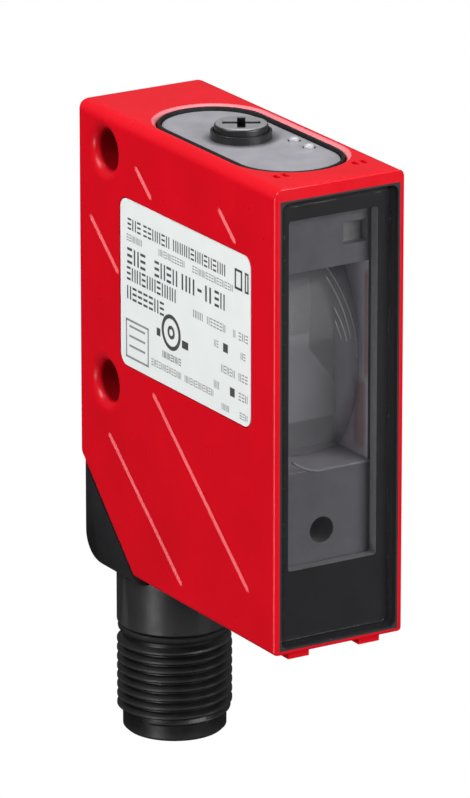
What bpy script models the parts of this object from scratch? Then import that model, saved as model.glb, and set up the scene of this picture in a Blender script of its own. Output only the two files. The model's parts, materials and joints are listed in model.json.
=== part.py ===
"""Photoelectric sensor with a screwed-down control cover and a swivelling M12 plug.

The sensor's own frame starts at the front window: X runs across the width from the
middle, Y runs backwards from the window, and Z runs up from the underside. The
empty "datum" carries everything, and moves that frame so that the world origin is
midway between the two mounting holes, on the right-hand side face.
"""

import math

import bmesh
import bpy
from mathutils import Matrix, Vector

MM = 0.001

# Driving dimensions
WIDTH = 15.0 * MM
DEPTH = 38.0 * MM
HEIGHT = 48.0 * MM
SIDE_WALL = 1.5 * MM
FLOOR_WALL = 1.2 * MM
BACK_WALL = 1.3 * MM
ROOF_WALL = 2.5 * MM
CORNER_CUT = 10.5 * MM  # leg of the 45 degree cut at the lower rear corner
GAP = 0.3 * MM  # running gap between neighbouring pieces
SNUG = 0.15 * MM  # gap between pieces that rest on each other

# Mounting holes, across the width
HOLE_SPACING = 24.4 * MM
HOLE_FROM_TOP = 4.2 * MM
HOLE_FROM_BACK = 5.25 * MM
HOLE_RADIUS = 2.1 * MM
HOLE_RIM_RADIUS = 3.25 * MM
HOLE_RIM_DEPTH = 0.9 * MM
HOLE_Y = DEPTH - HOLE_FROM_BACK
UPPER_HOLE_Z = HEIGHT - HOLE_FROM_TOP
LOWER_HOLE_Z = UPPER_HOLE_Z - HOLE_SPACING
HOLE_MIDDLE_Z = UPPER_HOLE_Z - HOLE_SPACING / 2

# Type label in the left side face
LABEL_Y = (4.5 * MM, 29.6 * MM)
LABEL_Z = (22.4 * MM, 39.9 * MM)
LABEL_CORNER = 1.2 * MM
LABEL_RECESS = 0.25 * MM
LABEL_THICKNESS = 0.12 * MM

# Front opening, from the window backwards
POCKET_HALF_WIDTH = 6.65 * MM
POCKET_BOTTOM = 0.62 * MM
POCKET_TOP = 46.43 * MM
POCKET_CORNER = 0.8 * MM
POCKET_DEPTH = 3.4 * MM
WINDOW_FRONT = 0.05 * MM
WINDOW_BACK = 1.15 * MM
WINDOW_CORNER = 0.6 * MM
SIGHT_HALF_WIDTH = 5.1 * MM
SIGHT_Z = (8.1 * MM, 44.1 * MM)
FRAME_BACK = 2.5 * MM
SEAL_FRONT = 2.7 * MM
SEAL_BAND = 0.45 * MM

# Optics moulding and the circuit board screwed to its back
PLATE_HALF_WIDTH = 5.7 * MM
PLATE_Y = (2.8 * MM, 4.4 * MM)
PLATE_Z = (1.6 * MM, 45.2 * MM)
CARRIER_HALF_WIDTH = 5.7 * MM
CARRIER_BACK = 20.9 * MM
CARRIER_Z = (3.0 * MM, 40.6 * MM)
CHAMBER_X = (-5.0 * MM, 5.0 * MM)
CHAMBER_Z = (17.6 * MM, 38.2 * MM)
MONITOR_X = (2.1 * MM, 4.8 * MM)
MONITOR_Z = (40.2 * MM, 42.5 * MM)
MONITOR_FLOOR = 3.9 * MM
APERTURE_X = -0.3 * MM
APERTURE_Z = 11.2 * MM
APERTURE_RADIUS = 1.5 * MM
APERTURE_FLOOR = 6.5 * MM
EMITTER_Y = 15.6 * MM
EMITTER_Z = 15.6 * MM
EMITTER_BORE_RADIUS = 2.0 * MM
EMITTER_BORE_END = 11.9 * MM
BOARD_FRONT = 21.5 * MM
BOARD_BACK = 22.3 * MM
BOARD_HALF_WIDTH = 5.3 * MM
BOARD_Z = (4.0 * MM, 40.6 * MM)
BOARD_SCREW_Z = (8.0 * MM, 39.4 * MM)
BOARD_HOLE_RADIUS = 0.9 * MM

# Cavity
CAVITY_HALF_WIDTH = WIDTH / 2 - SIDE_WALL
CAVITY_BACK = 28.2 * MM
CAVITY_TOP = HEIGHT - ROOF_WALL
CUT_WALL = 2.6 * MM  # wall behind the 45 degree face

# Control cover in the top face
OVAL_Y = 16.85 * MM
OVAL_STRAIGHT = 7.0 * MM  # half the distance between the two arc centres
RECESS_RADIUS = 5.8 * MM
RECESS_FLOOR = 46.3 * MM
THROUGH_RADIUS = 5.1 * MM
COVER_RADIUS = 5.2 * MM
COVER_TOP = 47.5 * MM
COVER_UNDER = 46.9 * MM
COVER_PLUG_UNDER = 46.0 * MM
COLLAR_RADII = (2.95 * MM, 3.35 * MM)
COLLAR_TOP = 48.35 * MM
SEAL_LIP_TOP = 47.9 * MM
CONTROL_BOARD_UNDER = 41.0 * MM
CONTROL_BOARD_TOP = 42.0 * MM
TRIMMER_Y = 9.5 * MM
MODE_SWITCH_Y = 25.2 * MM
LIGHT_X = 4.0 * MM
GREEN_LIGHT_Y = 12.3 * MM
YELLOW_LIGHT_Y = 15.1 * MM
LIGHT_PIPE_Z = (43.3 * MM, 47.9 * MM)
LIGHT_PIPE_RADIUS = 0.5 * MM

# Cover screw (M3, cheese head) and its insert
SCREW_Y = 18.6 * MM
SCREW_HEAD_RADIUS = 2.7 * MM
SCREW_HEAD_TOP = 49.1 * MM
SCREW_HEAD_HEIGHT = 1.45 * MM
SCREW_RADIUS = 1.5 * MM
SCREW_NECK_RADIUS = 1.1 * MM
SCREW_THREAD_TOP = 45.4 * MM
SCREW_TIP = 42.9 * MM
CROSS_ANGLE = -31.0  # of the recess in the screw's head when the cover is shut, in degrees
INSERT_RADIUS = 2.3 * MM
INSERT_Z = (42.9 * MM, 45.3 * MM)

# Swivel plug: it turns about the normal of the 45 degree face, through its middle
SWIVEL_Y = DEPTH - CORNER_CUT / 2
SWIVEL_Z = CORNER_CUT / 2
SWIVEL_DIRECTION = Vector((0, 1, -1)).normalized()
SPIGOT_RADIUS = 4.2 * MM
SPIGOT_GROOVE_RADIUS = 3.5 * MM
SPIGOT_BORE_RADIUS = 2.4 * MM
SPIGOT_END = -CUT_WALL - 2.0 * MM
RETAINER_RADII = (3.8 * MM, 5.4 * MM)
SEAL_SEAT_RADIUS = 5.7 * MM
ELBOW_FACE = DEPTH - CORNER_CUT + GAP * math.sqrt(2)  # y - z along the elbow's sloping face
ELBOW_HALF_WIDTH = 7.3 * MM
ELBOW_BACK = 37.9 * MM
ELBOW_UNDER = -1.0 * MM
ELBOW_CORNER = 3.2 * MM
BARREL_Y = 31.8 * MM
BARREL_RADIUS = 5.95 * MM
NECK_END = -7.2 * MM
RING_GROOVE_RADIUS = 5.0 * MM
RING_GROOVE_WIDTH = 1.0 * MM
THREAD_END = -17.2 * MM
PILOT_RADIUS = 5.35 * MM
BARREL_END = -18.8 * MM
SOCKET_RADIUS = 4.4 * MM
SOCKET_SHOULDER = -5.0 * MM
WIRE_BORE_RADIUS = 3.0 * MM
WIRE_BORE_TOP = -1.2 * MM
CONTACT_FACE = -10.9 * MM
PIN_CIRCLE_RADIUS = 2.5 * MM
PIN_RADIUS = 0.5 * MM
PIN_Z = (-17.6 * MM, -3.4 * MM)

ROUND = 48  # segments of a large circle
SMALL = 24  # segments of a small circle


# ---------------------------------------------------------------- scene helpers


def clear_scene():
    for obj in list(bpy.data.objects):
        bpy.data.objects.remove(obj, do_unlink=True)


def new_empty(name, parent, location):
    empty = bpy.data.objects.new(name, None)
    bpy.context.scene.collection.objects.link(empty)
    empty.empty_display_size = 3 * MM
    empty.location = location
    empty.parent = parent
    return empty


def finish(name, colour, roughness, metallic=0.0, alpha=1.0):
    """A Principled material."""
    material = bpy.data.materials.new(name)
    material.use_nodes = True
    shader = material.node_tree.nodes["Principled BSDF"]
    shader.inputs["Base Color"].default_value = (*colour, 1.0)
    shader.inputs["Roughness"].default_value = roughness
    shader.inputs["Metallic"].default_value = metallic
    shader.inputs["Alpha"].default_value = alpha
    material.diffuse_color = (*colour, alpha)
    return material


def new_object(name, bm, material=None):
    """An object in the sensor's frame. With no material it is a tool for a Boolean."""
    bmesh.ops.recalc_face_normals(bm, faces=bm.faces)
    mesh = bpy.data.meshes.new(name)
    bm.to_mesh(mesh)
    bm.free()
    mesh.shade_smooth()
    mesh.set_sharp_from_angle(angle=math.radians(30))
    obj = bpy.data.objects.new(name, mesh)
    bpy.context.scene.collection.objects.link(obj)
    obj.parent = bpy.data.objects["datum"]
    if material:
        mesh.materials.append(material)
    else:
        obj.hide_render = True
        obj.display_type = "WIRE"
    return obj


def boolean(target, tools, operation):
    """One Boolean with all the tools at once, which are kept in a collection."""
    name = f"{target.name}_{operation.lower()}_{len(target.modifiers) + 1}"
    group = bpy.data.collections.new(name)
    bpy.context.scene.collection.children.link(group)
    for tool in tools:
        bpy.context.scene.collection.objects.unlink(tool)
        group.objects.link(tool)
    modifier = target.modifiers.new(name, "BOOLEAN")
    modifier.operation = operation
    modifier.operand_type = "COLLECTION"
    modifier.collection = group
    modifier.solver = "EXACT"


def cut(target, *tools):
    boolean(target, tools, "DIFFERENCE")


def add(target, *tools):
    boolean(target, tools, "UNION")


def hang_on(axis_empty, *pieces):
    """Parents pieces to a joint's empty without moving them."""
    for piece in pieces:
        piece.parent = axis_empty
        piece.matrix_parent_inverse = axis_empty.matrix_basis.inverted()


# ---------------------------------------------------------------- shape helpers


def block(name, x, y, z, material=None):
    """A box from three (low, high) pairs."""
    bm = bmesh.new()
    bmesh.ops.create_cube(bm, size=1.0)
    for vertex in bm.verts:
        vertex.co = Vector(
            (span[0] if side < 0 else span[1]) for side, span in zip(vertex.co, (x, y, z))
        )
    return new_object(name, bm, material)


def loft(bm, rings, closed=False):
    """Faces between equally long rings of vertices, capped unless closed on itself."""
    count = len(rings[0])
    pairs = list(zip(rings, rings[1:]))
    if closed:
        pairs.append((rings[-1], rings[0]))
    for lower, upper in pairs:
        for i in range(count):
            j = (i + 1) % count
            bm.faces.new((lower[i], lower[j], upper[j], upper[i]))
    if not closed:
        bm.faces.new(list(reversed(rings[0])))
        bm.faces.new(rings[-1])


def prism(name, outline, axis, span, material=None):
    """An outline pushed along an axis. It lists (y, z) for X, (x, z) for Y, (x, y) for Z."""
    at = {
        "X": lambda a, b, level: (level, a, b),
        "Y": lambda a, b, level: (a, level, b),
        "Z": lambda a, b, level: (a, b, level),
    }[axis]
    bm = bmesh.new()
    rings = [[bm.verts.new(at(a, b, level)) for a, b in outline] for level in span]
    loft(bm, rings)
    return new_object(name, bm, material)


def frame_ring(name, outer, inner, y, material):
    """A flat ring in the XZ plane between two outlines with equally many points."""
    bm = bmesh.new()
    rings = [
        [bm.verts.new((a, level, b)) for a, b in outline]
        for outline, level in ((outer, y[0]), (outer, y[1]), (inner, y[1]), (inner, y[0]))
    ]
    loft(bm, rings, closed=True)
    return new_object(name, bm, material)


def turned(name, profile, centre, direction=(0, 0, 1), segments=ROUND, material=None):
    """A solid of revolution. The profile lists (radius, height) from axis to axis, or
    goes round a ring's section when no point lies on the axis."""
    bm = bmesh.new()
    turn = Vector(direction).to_track_quat("Z", "Y").to_matrix().to_4x4()
    place = Matrix.Translation(centre) @ turn
    rings = []
    for radius, height in profile:
        if radius == 0:
            rings.append([bm.verts.new(place @ Vector((0, 0, height)))])
            continue
        angles = [2 * math.pi * i / segments for i in range(segments)]
        rings.append(
            [
                bm.verts.new(place @ Vector((radius * math.cos(a), radius * math.sin(a), height)))
                for a in angles
            ]
        )
    closed = profile[0][0] > 0
    pairs = list(zip(rings, rings[1:])) + ([(rings[-1], rings[0])] if closed else [])
    for first, second in pairs:
        for i in range(segments):
            j = (i + 1) % segments
            corners = [first[i % len(first)], first[j % len(first)]]
            corners += [second[j % len(second)], second[i % len(second)]]
            bm.faces.new(list(dict.fromkeys(corners)))
    return new_object(name, bm, material)


def rod(name, radius, centre, span, direction=(0, 0, 1), segments=ROUND, material=None):
    """A plain cylinder between two heights above its centre."""
    profile = [(0, span[0]), (radius, span[0]), (radius, span[1]), (0, span[1])]
    return turned(name, profile, centre, direction, segments, material)


def torus(name, ring_radius, section_radius, centre, direction, material, section_segments=10):
    angles = [2 * math.pi * i / section_segments for i in range(section_segments)]
    profile = [
        (ring_radius + section_radius * math.cos(a), section_radius * math.sin(a)) for a in angles
    ]
    return turned(name, profile, centre, direction, ROUND, material)


def arc(centre, radius, start, stop, steps):
    """Points on an arc, angles in degrees, both ends included."""
    angles = [math.radians(start + (stop - start) * i / steps) for i in range(steps + 1)]
    return [(centre[0] + radius * math.cos(a), centre[1] + radius * math.sin(a)) for a in angles]


def rounded_rectangle(x, z, radius, steps=4):
    corners = (
        (x[1] - radius, z[0] + radius, -90),
        (x[1] - radius, z[1] - radius, 0),
        (x[0] + radius, z[1] - radius, 90),
        (x[0] + radius, z[0] + radius, 180),
    )
    points = []
    for cx, cz, start in corners:
        points += arc((cx, cz), radius, start, start + 90, steps)
    return points


def oval(radius, steps=20):
    """The cover's outline: two half circles joined by straight sides along Y."""
    rear = arc((0, OVAL_Y + OVAL_STRAIGHT), radius, 0, 180, steps)
    front = arc((0, OVAL_Y - OVAL_STRAIGHT), radius, 180, 360, steps)
    return rear + front


def swivel_point(along):
    """A point on the swivel axis, this far outside the 45 degree face."""
    step = along / math.sqrt(2)
    return Vector((0, SWIVEL_Y + step, SWIVEL_Z - step))


# ---------------------------------------------------------------- housing


def housing_body(material):
    """The outer shape, with its long top edges rounded more than the others."""
    top_round, edge_round = 1.25 * MM, 0.5 * MM
    outline = [
        (0, 0),
        (DEPTH - CORNER_CUT, 0),
        (DEPTH, CORNER_CUT),
        (DEPTH, HEIGHT),
        (0, HEIGHT),
    ]
    bm = bmesh.new()
    rings = [[bm.verts.new((x, y, z)) for y, z in outline] for x in (-WIDTH / 2, WIDTH / 2)]
    loft(bm, rings)
    weight = bm.edges.layers.float.new("bevel_weight_edge")
    for edge in bm.edges:
        ends = [vertex.co for vertex in edge.verts]
        on_front = all(end.y < MM for end in ends)
        along_width = abs(ends[0].x - ends[1].x) > MM
        on_top = all(end.z > HEIGHT - MM for end in ends)
        if on_top and not along_width:
            edge[weight] = 1.0
        elif not (on_front and along_width):
            edge[weight] = edge_round / top_round
    housing = new_object("housing", bm, material)
    bevel = housing.modifiers.new("rounded_edges", "BEVEL")
    bevel.limit_method = "WEIGHT"
    bevel.width = top_round
    bevel.segments = 4
    return housing


def housing_cavity():
    """Hollow front space, a low pocket behind the swivel and one between the holes."""
    inner_cut = DEPTH - CORNER_CUT - CUT_WALL * math.sqrt(2)  # y - z along the sloping wall
    back = DEPTH - BACK_WALL
    column = 5.2 * MM  # solid above and below a hole's axis
    column_low, column_high = LOWER_HOLE_Z - column, LOWER_HOLE_Z + column
    upper_column_low = UPPER_HOLE_Z - column
    front = POCKET_DEPTH - 0.4 * MM
    outline = [
        (front, FLOOR_WALL),
        (inner_cut + FLOOR_WALL, FLOOR_WALL),
        (back, back - inner_cut),
        (back, column_low),
        (CAVITY_BACK, column_low),
        (CAVITY_BACK, column_high),
        (back, column_high),
        (back, upper_column_low),
        (CAVITY_BACK, upper_column_low),
        (CAVITY_BACK, CAVITY_TOP),
        (front, CAVITY_TOP),
    ]
    return prism("cavity", outline, "X", (-CAVITY_HALF_WIDTH, CAVITY_HALF_WIDTH))


def mounting_hole(name, z):
    """A through hole with a rounded-off rim on both sides."""
    side = WIDTH / 2
    rim = side - HOLE_RIM_DEPTH
    beyond = side + MM
    profile = [
        (0, -beyond),
        (HOLE_RIM_RADIUS, -beyond),
        (HOLE_RIM_RADIUS, -side),
        (HOLE_RADIUS, -rim),
        (HOLE_RADIUS, rim),
        (HOLE_RIM_RADIUS, side),
        (HOLE_RIM_RADIUS, beyond),
        (0, beyond),
    ]
    return turned(name, profile, (0, HOLE_Y, z), (1, 0, 0))


def side_grooves():
    """Shallow diagonal grooves on both sides, listed as (start y, start z, length)."""
    angle = math.radians(40)
    width, depth = 0.5 * MM, 0.25 * MM
    grooves = [
        (26.8, 43.8, 4.5),
        (35.8, 36.5, 7.8),
        (10.8, 43.6, 4.7),
        (23.5, 21.0, 24.5),
        (32.3, 14.3, 19.2),
    ]
    along = Vector((-math.cos(angle), -math.sin(angle)))
    across = Vector((-along.y, along.x)) * width / 2
    tools = []
    for side in (-1, 1):
        for number, (start_y, start_z, length) in enumerate(grooves, 1):
            start = Vector((start_y, start_z)) * MM
            stop = start + along * length * MM
            outline = [start + across, start - across, stop - across, stop + across]
            span = sorted((side * (WIDTH / 2 - depth), side * (WIDTH / 2 + MM)))
            name = f"groove_{'left' if side < 0 else 'right'}_{number}"
            tools.append(prism(name, outline, "X", span))
    return tools


def label_outline(margin):
    """The label's outline in the YZ plane, grown by a margin."""
    y = (LABEL_Y[0] - margin, LABEL_Y[1] + margin)
    z = (LABEL_Z[0] - margin, LABEL_Z[1] + margin)
    return rounded_rectangle(y, z, LABEL_CORNER + margin)


def insert_bridge():
    """The cross rib under the cover, with a round boss for the screw insert."""
    rib_z, boss_z = (42.6 * MM, 45.3 * MM), (42.5 * MM, 45.4 * MM)
    reach, half, boss_radius = CAVITY_HALF_WIDTH + 0.5 * MM, 1.6 * MM, 3.6 * MM
    rib = block("bridge_rib", (-reach, reach), (SCREW_Y - half, SCREW_Y + half), rib_z)
    boss = rod("bridge_boss", boss_radius, (0, SCREW_Y, 0), boss_z)
    return rib, boss


def front_lugs():
    """Two small lugs under the front rim."""
    offset, half = 4.1 * MM, 1.2 * MM
    y, z = (0.9 * MM, 3.3 * MM), (-0.9 * MM, 0.4 * MM)
    lugs = []
    for name, side in (("lug_left", -1), ("lug_right", 1)):
        x = (side * offset - half, side * offset + half)
        lugs.append(block(name, x, y, z))
    return lugs


def build_housing(material):
    housing = housing_body(material)
    pocket = rounded_rectangle(
        (-POCKET_HALF_WIDTH, POCKET_HALF_WIDTH), (POCKET_BOTTOM, POCKET_TOP), POCKET_CORNER
    )
    cut(housing, prism("front_pocket", pocket, "Y", (-MM, POCKET_DEPTH)), housing_cavity())
    add(housing, *insert_bridge(), *front_lugs())

    bore_radius, bore_span = SPIGOT_RADIUS + GAP, (-CUT_WALL - 2 * MM, MM)
    label_span = (-WIDTH / 2 - MM, -WIDTH / 2 + LABEL_RECESS)
    opening_low = CAVITY_TOP - 0.05 * MM
    bridge = (CAVITY_TOP - 6 * MM, CAVITY_TOP)
    seat_span = (-1.1 * MM, MM)
    cut(
        housing,
        rod("bridge_bore", INSERT_RADIUS + GAP, (0, SCREW_Y, 0), bridge),
        prism("cover_recess", oval(RECESS_RADIUS), "Z", (RECESS_FLOOR, HEIGHT + MM)),
        prism("cover_opening", oval(THROUGH_RADIUS), "Z", (opening_low, RECESS_FLOOR + MM)),
        mounting_hole("upper_hole", UPPER_HOLE_Z),
        mounting_hole("lower_hole", LOWER_HOLE_Z),
        rod("swivel_bore", bore_radius, swivel_point(0), bore_span, SWIVEL_DIRECTION),
        rod("seal_seat", SEAL_SEAT_RADIUS, swivel_point(0), seat_span, SWIVEL_DIRECTION),
        prism("label_recess", label_outline(SNUG), "X", label_span),
        *side_grooves(),
    )


def build_label(material):
    outer = -WIDTH / 2 + 0.02 * MM
    prism("type_label", label_outline(0), "X", (outer, outer + LABEL_THICKNESS), material)


# ---------------------------------------------------------------- front optics


def build_window(glass, black, rubber):
    x = (-POCKET_HALF_WIDTH + GAP, POCKET_HALF_WIDTH - GAP)
    z = (POCKET_BOTTOM + GAP, POCKET_TOP - GAP)
    outline = rounded_rectangle(x, z, WINDOW_CORNER)
    prism("front_window", outline, "Y", (WINDOW_FRONT, WINDOW_BACK), glass)
    sight = rounded_rectangle((-SIGHT_HALF_WIDTH, SIGHT_HALF_WIDTH), SIGHT_Z, WINDOW_CORNER)
    frame_ring("window_frame", outline, sight, (WINDOW_BACK + SNUG, FRAME_BACK), black)
    seal_x = (x[0] + SEAL_BAND, x[1] - SEAL_BAND)
    seal_z = (z[0] + SEAL_BAND, z[1] - SEAL_BAND)
    seal_inner = rounded_rectangle(seal_x, seal_z, WINDOW_CORNER)
    frame_ring("window_seal", outline, seal_inner, (SEAL_FRONT, POCKET_DEPTH - SNUG), rubber)


def build_carrier(material):
    """The optics moulding: a face plate, the light chamber and the emitter's block."""
    plate_x = (-PLATE_HALF_WIDTH, PLATE_HALF_WIDTH)
    carrier = block("optics_carrier", plate_x, PLATE_Y, PLATE_Z, material)
    body_x = (-CARRIER_HALF_WIDTH, CARRIER_HALF_WIDTH)
    body_y = (PLATE_Y[1] - 0.4 * MM, CARRIER_BACK)
    add(carrier, block("carrier_body", body_x, body_y, CARRIER_Z))

    before, beyond = PLATE_Y[0] - MM, CARRIER_BACK + MM
    aperture_at, aperture_span = (APERTURE_X, 0, APERTURE_Z), (before, APERTURE_FLOOR)
    emitter_span = (EMITTER_BORE_END, CHAMBER_Z[0] + MM)
    screw_span = (17 * MM, beyond)
    tools = [
        block("light_chamber", CHAMBER_X, (before, beyond), CHAMBER_Z),
        block("monitor_recess", MONITOR_X, (before, MONITOR_FLOOR), MONITOR_Z),
        rod("front_aperture", APERTURE_RADIUS, aperture_at, aperture_span, (0, 1, 0), SMALL),
        rod("emitter_bore", EMITTER_BORE_RADIUS, (0, EMITTER_Y, 0), emitter_span, segments=SMALL),
    ]
    for number, z in enumerate(BOARD_SCREW_Z, 1):
        name = f"board_screw_bore_{number}"
        tools.append(rod(name, BOARD_HOLE_RADIUS, (0, 0, z), screw_span, (0, 1, 0), SMALL))
    cut(carrier, *tools)


def build_main_lens(material):
    """A plano-convex lens, its sphere cropped to a rectangle."""
    half_width = CHAMBER_X[1] - GAP
    middle_z = (CHAMBER_Z[0] + CHAMBER_Z[1]) / 2
    half_height = (CHAMBER_Z[1] - CHAMBER_Z[0]) / 2 - GAP
    crown, back, sphere = 3.2 * MM, 8.2 * MM, 16.0 * MM
    columns, rows = 10, 18

    def surface(x, z):
        return crown + sphere - math.sqrt(sphere**2 - x**2 - z**2)

    bm = bmesh.new()
    grid = [
        [
            (half_width * (2 * i / columns - 1), half_height * (2 * j / rows - 1))
            for i in range(columns + 1)
        ]
        for j in range(rows + 1)
    ]
    front = [[bm.verts.new((x, surface(x, z), z + middle_z)) for x, z in row] for row in grid]
    for low, high in zip(front, front[1:]):
        for i in range(columns):
            bm.faces.new((low[i], low[i + 1], high[i + 1], high[i]))
    rim = front[0] + [row[-1] for row in front[1:]]
    rim += list(reversed(front[-1][:-1])) + [row[0] for row in reversed(front[1:-1])]
    flat = [bm.verts.new((vertex.co.x, back, vertex.co.z)) for vertex in rim]
    for i in range(len(rim)):
        j = (i + 1) % len(rim)
        bm.faces.new((rim[i], rim[j], flat[j], flat[i]))
    bm.faces.new(flat)
    new_object("main_lens", bm, material)


def build_light_path(clear, film, mirror, dark):
    x = (CHAMBER_X[0] + GAP, CHAMBER_X[1] - GAP)
    z = (CHAMBER_Z[0] + GAP, CHAMBER_Z[1] - GAP)
    build_main_lens(clear)
    filter_y = (8.6 * MM, 9.0 * MM)
    block("polarising_filter", x, filter_y, z, film)

    half_length, half_thickness = 4.6 * MM, 0.35 * MM
    middle = Vector((EMITTER_Y, (CHAMBER_Z[0] + CHAMBER_Z[1]) / 2))
    along = Vector((1, 1)).normalized() * half_length
    across = Vector((1, -1)).normalized() * half_thickness
    outline = [
        middle - along - across,
        middle - along + across,
        middle + along + across,
        middle + along - across,
    ]
    prism("beam_splitter", outline, "X", x, mirror)

    dome, flange, flange_z, steps = 1.4 * MM, 1.6 * MM, (-3.2 * MM, -2.4 * MM), 5
    profile = [(0, flange_z[0]), (flange, flange_z[0]), (flange, flange_z[1]), (dome, flange_z[1])]
    profile += arc((0, 0), dome, 0, 90, steps)[:-1] + [(0, dome)]
    turned("emitter_led", profile, (0, EMITTER_Y, EMITTER_Z), segments=SMALL, material=clear)
    diode, diode_y = 1.6 * MM, (20.2 * MM, BOARD_FRONT - SNUG)
    diode_z = (middle.y - diode, middle.y + diode)
    block("receiver_photodiode", (-diode, diode), diode_y, diode_z, dark)


# ---------------------------------------------------------------- electronics


def build_main_board(board, steel, dark):
    board_x = (-BOARD_HALF_WIDTH, BOARD_HALF_WIDTH)
    main_board = block("main_board", board_x, (BOARD_FRONT, BOARD_BACK), BOARD_Z, board)
    rear = BOARD_BACK + SNUG
    through = (BOARD_FRONT - MM, BOARD_BACK + MM)
    tip, shank, radius, head = 18.0 * MM, 0.6 * MM, 1.3 * MM, rear + 0.7 * MM
    profile = [(0, tip), (shank, tip), (shank, rear), (radius, rear), (radius, head), (0, head)]
    holes = []
    for number, z in enumerate(BOARD_SCREW_Z, 1):
        at, along = (0, 0, z), (0, 1, 0)
        holes.append(rod(f"board_hole_{number}", BOARD_HOLE_RADIUS, at, through, along, SMALL))
        turned(f"board_screw_{number}", profile, at, along, SMALL, steel)
    cut(main_board, *holes)

    chip_x, chip_z, chip_back = (-2.5 * MM, 2.5 * MM), (22.0 * MM, 27.0 * MM), rear + 0.9 * MM
    block("processor_chip", chip_x, (rear, chip_back), chip_z, dark)
    can_x, can_z, can_back = (-3.5 * MM, 3.5 * MM), (29.5 * MM, 36.5 * MM), rear + 2.2 * MM
    shield = block("receiver_shield", can_x, (rear, can_back), can_z, steel)
    wall = 0.3 * MM
    inside = block(
        "shield_inside",
        (can_x[0] + wall, can_x[1] - wall),
        (rear - MM, can_back - wall),
        (can_z[0] + wall, can_z[1] - wall),
    )
    cut(shield, inside)


def build_control_board(board, dark, green, yellow):
    half_width, y = 5.4 * MM, (4.8 * MM, 27.6 * MM)
    thickness = (CONTROL_BOARD_UNDER, CONTROL_BOARD_TOP)
    control_board = block("control_board", (-half_width, half_width), y, thickness, board)
    notch_x, notch_y = (-half_width - MM, -3.6 * MM), (23.0 * MM, y[1] + MM)
    notch_z = (CONTROL_BOARD_UNDER - MM, CONTROL_BOARD_TOP + MM)
    cut(control_board, block("board_notch", notch_x, notch_y, notch_z))

    half_long, half_short, height = 0.8 * MM, 0.45 * MM, 0.8 * MM
    low = CONTROL_BOARD_TOP + SNUG
    led_x = (LIGHT_X - half_long, LIGHT_X + half_long)
    lights = (("green_led", GREEN_LIGHT_Y, green), ("yellow_led", YELLOW_LIGHT_Y, yellow))
    for name, led_y, colour in lights:
        block(name, led_x, (led_y - half_short, led_y + half_short), (low, low + height), colour)


def build_adjuster(body_name, rotor_name, y, body_material, rotor_material, axis_empty):
    """A square surface-mount body with a slotted rotor turning in its top."""
    low = CONTROL_BOARD_TOP + SNUG
    half, height = 1.9 * MM, 1.6 * MM
    seat_radius, seat_depth, rotor_radius = 1.6 * MM, 0.9 * MM, 1.3 * MM
    body = block(body_name, (-half, half), (y - half, y + half), (low, low + height), body_material)
    top = low + height
    cut(body, rod(f"{body_name}_seat", seat_radius, (0, y, top), (-seat_depth, MM), segments=SMALL))
    span = (top - seat_depth + SNUG, top + 0.5 * MM)
    rotor = rod(
        rotor_name, rotor_radius, (0, y, 0), span, segments=SMALL, material=rotor_material
    )
    half_slot, slot_reach, slot_depth = 0.25 * MM, 1.0 * MM, 0.4 * MM
    slot = block(
        f"{rotor_name}_slot",
        (-half_slot, half_slot),
        (y - slot_reach, y + slot_reach),
        (span[1] - slot_depth, span[1] + MM),
    )
    cut(rotor, slot)
    hang_on(axis_empty, rotor, slot)


# ---------------------------------------------------------------- control cover


def build_cover(smoke, clear, rubber, lift_empty):
    cover = prism("control_cover", oval(COVER_RADIUS), "Z", (COVER_UNDER, COVER_TOP), smoke)
    plug_span = (COVER_PLUG_UNDER, COVER_UNDER + 0.1 * MM)
    plug = prism("cover_plug", oval(THROUGH_RADIUS - GAP), "Z", plug_span)
    boss_radius, boss_span = 2.9 * MM, (COVER_PLUG_UNDER - 0.2 * MM, COVER_PLUG_UNDER + 0.5 * MM)
    boss = rod("cover_boss", boss_radius, (0, SCREW_Y, 0), boss_span)
    collar = rod("cover_collar", COLLAR_RADII[1], (0, SCREW_Y, 0), (COVER_UNDER, COLLAR_TOP))
    add(cover, plug, boss, collar)

    at, below, above = (0, SCREW_Y, 0), COVER_PLUG_UNDER - MM, COVER_TOP + 0.1 * MM
    hole_radius, ring_seat_radius, ring_seat_floor = 1.4 * MM, 2.1 * MM, 46.2 * MM
    tools = [
        rod("head_seat", COLLAR_RADII[0], at, (COVER_TOP, COLLAR_TOP + MM)),
        rod("screw_seal_seat", ring_seat_radius, at, (ring_seat_floor, above)),
        rod("screw_hole", hole_radius, at, (below, above), segments=SMALL),
    ]
    pieces = [cover, plug, boss, collar]
    bore, bore_span = LIGHT_PIPE_RADIUS + SNUG, (below, HEIGHT)
    for name, y in (("light_pipe_green", GREEN_LIGHT_Y), ("light_pipe_yellow", YELLOW_LIGHT_Y)):
        pipe_at = (LIGHT_X, y, 0)
        tools.append(rod(f"{name}_bore", bore, pipe_at, bore_span, segments=SMALL))
        pipe = rod(name, LIGHT_PIPE_RADIUS, pipe_at, LIGHT_PIPE_Z, segments=SMALL, material=clear)
        pieces.append(pipe)
    cut(cover, *tools)

    ring_radius, section, ring_z = 1.6 * MM, 0.33 * MM, 46.65 * MM
    ring_at = (0, SCREW_Y, ring_z)
    pieces.append(torus("screw_oring", ring_radius, section, ring_at, (0, 0, 1), rubber, 8))
    hang_on(lift_empty, *pieces, *tools)


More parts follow.
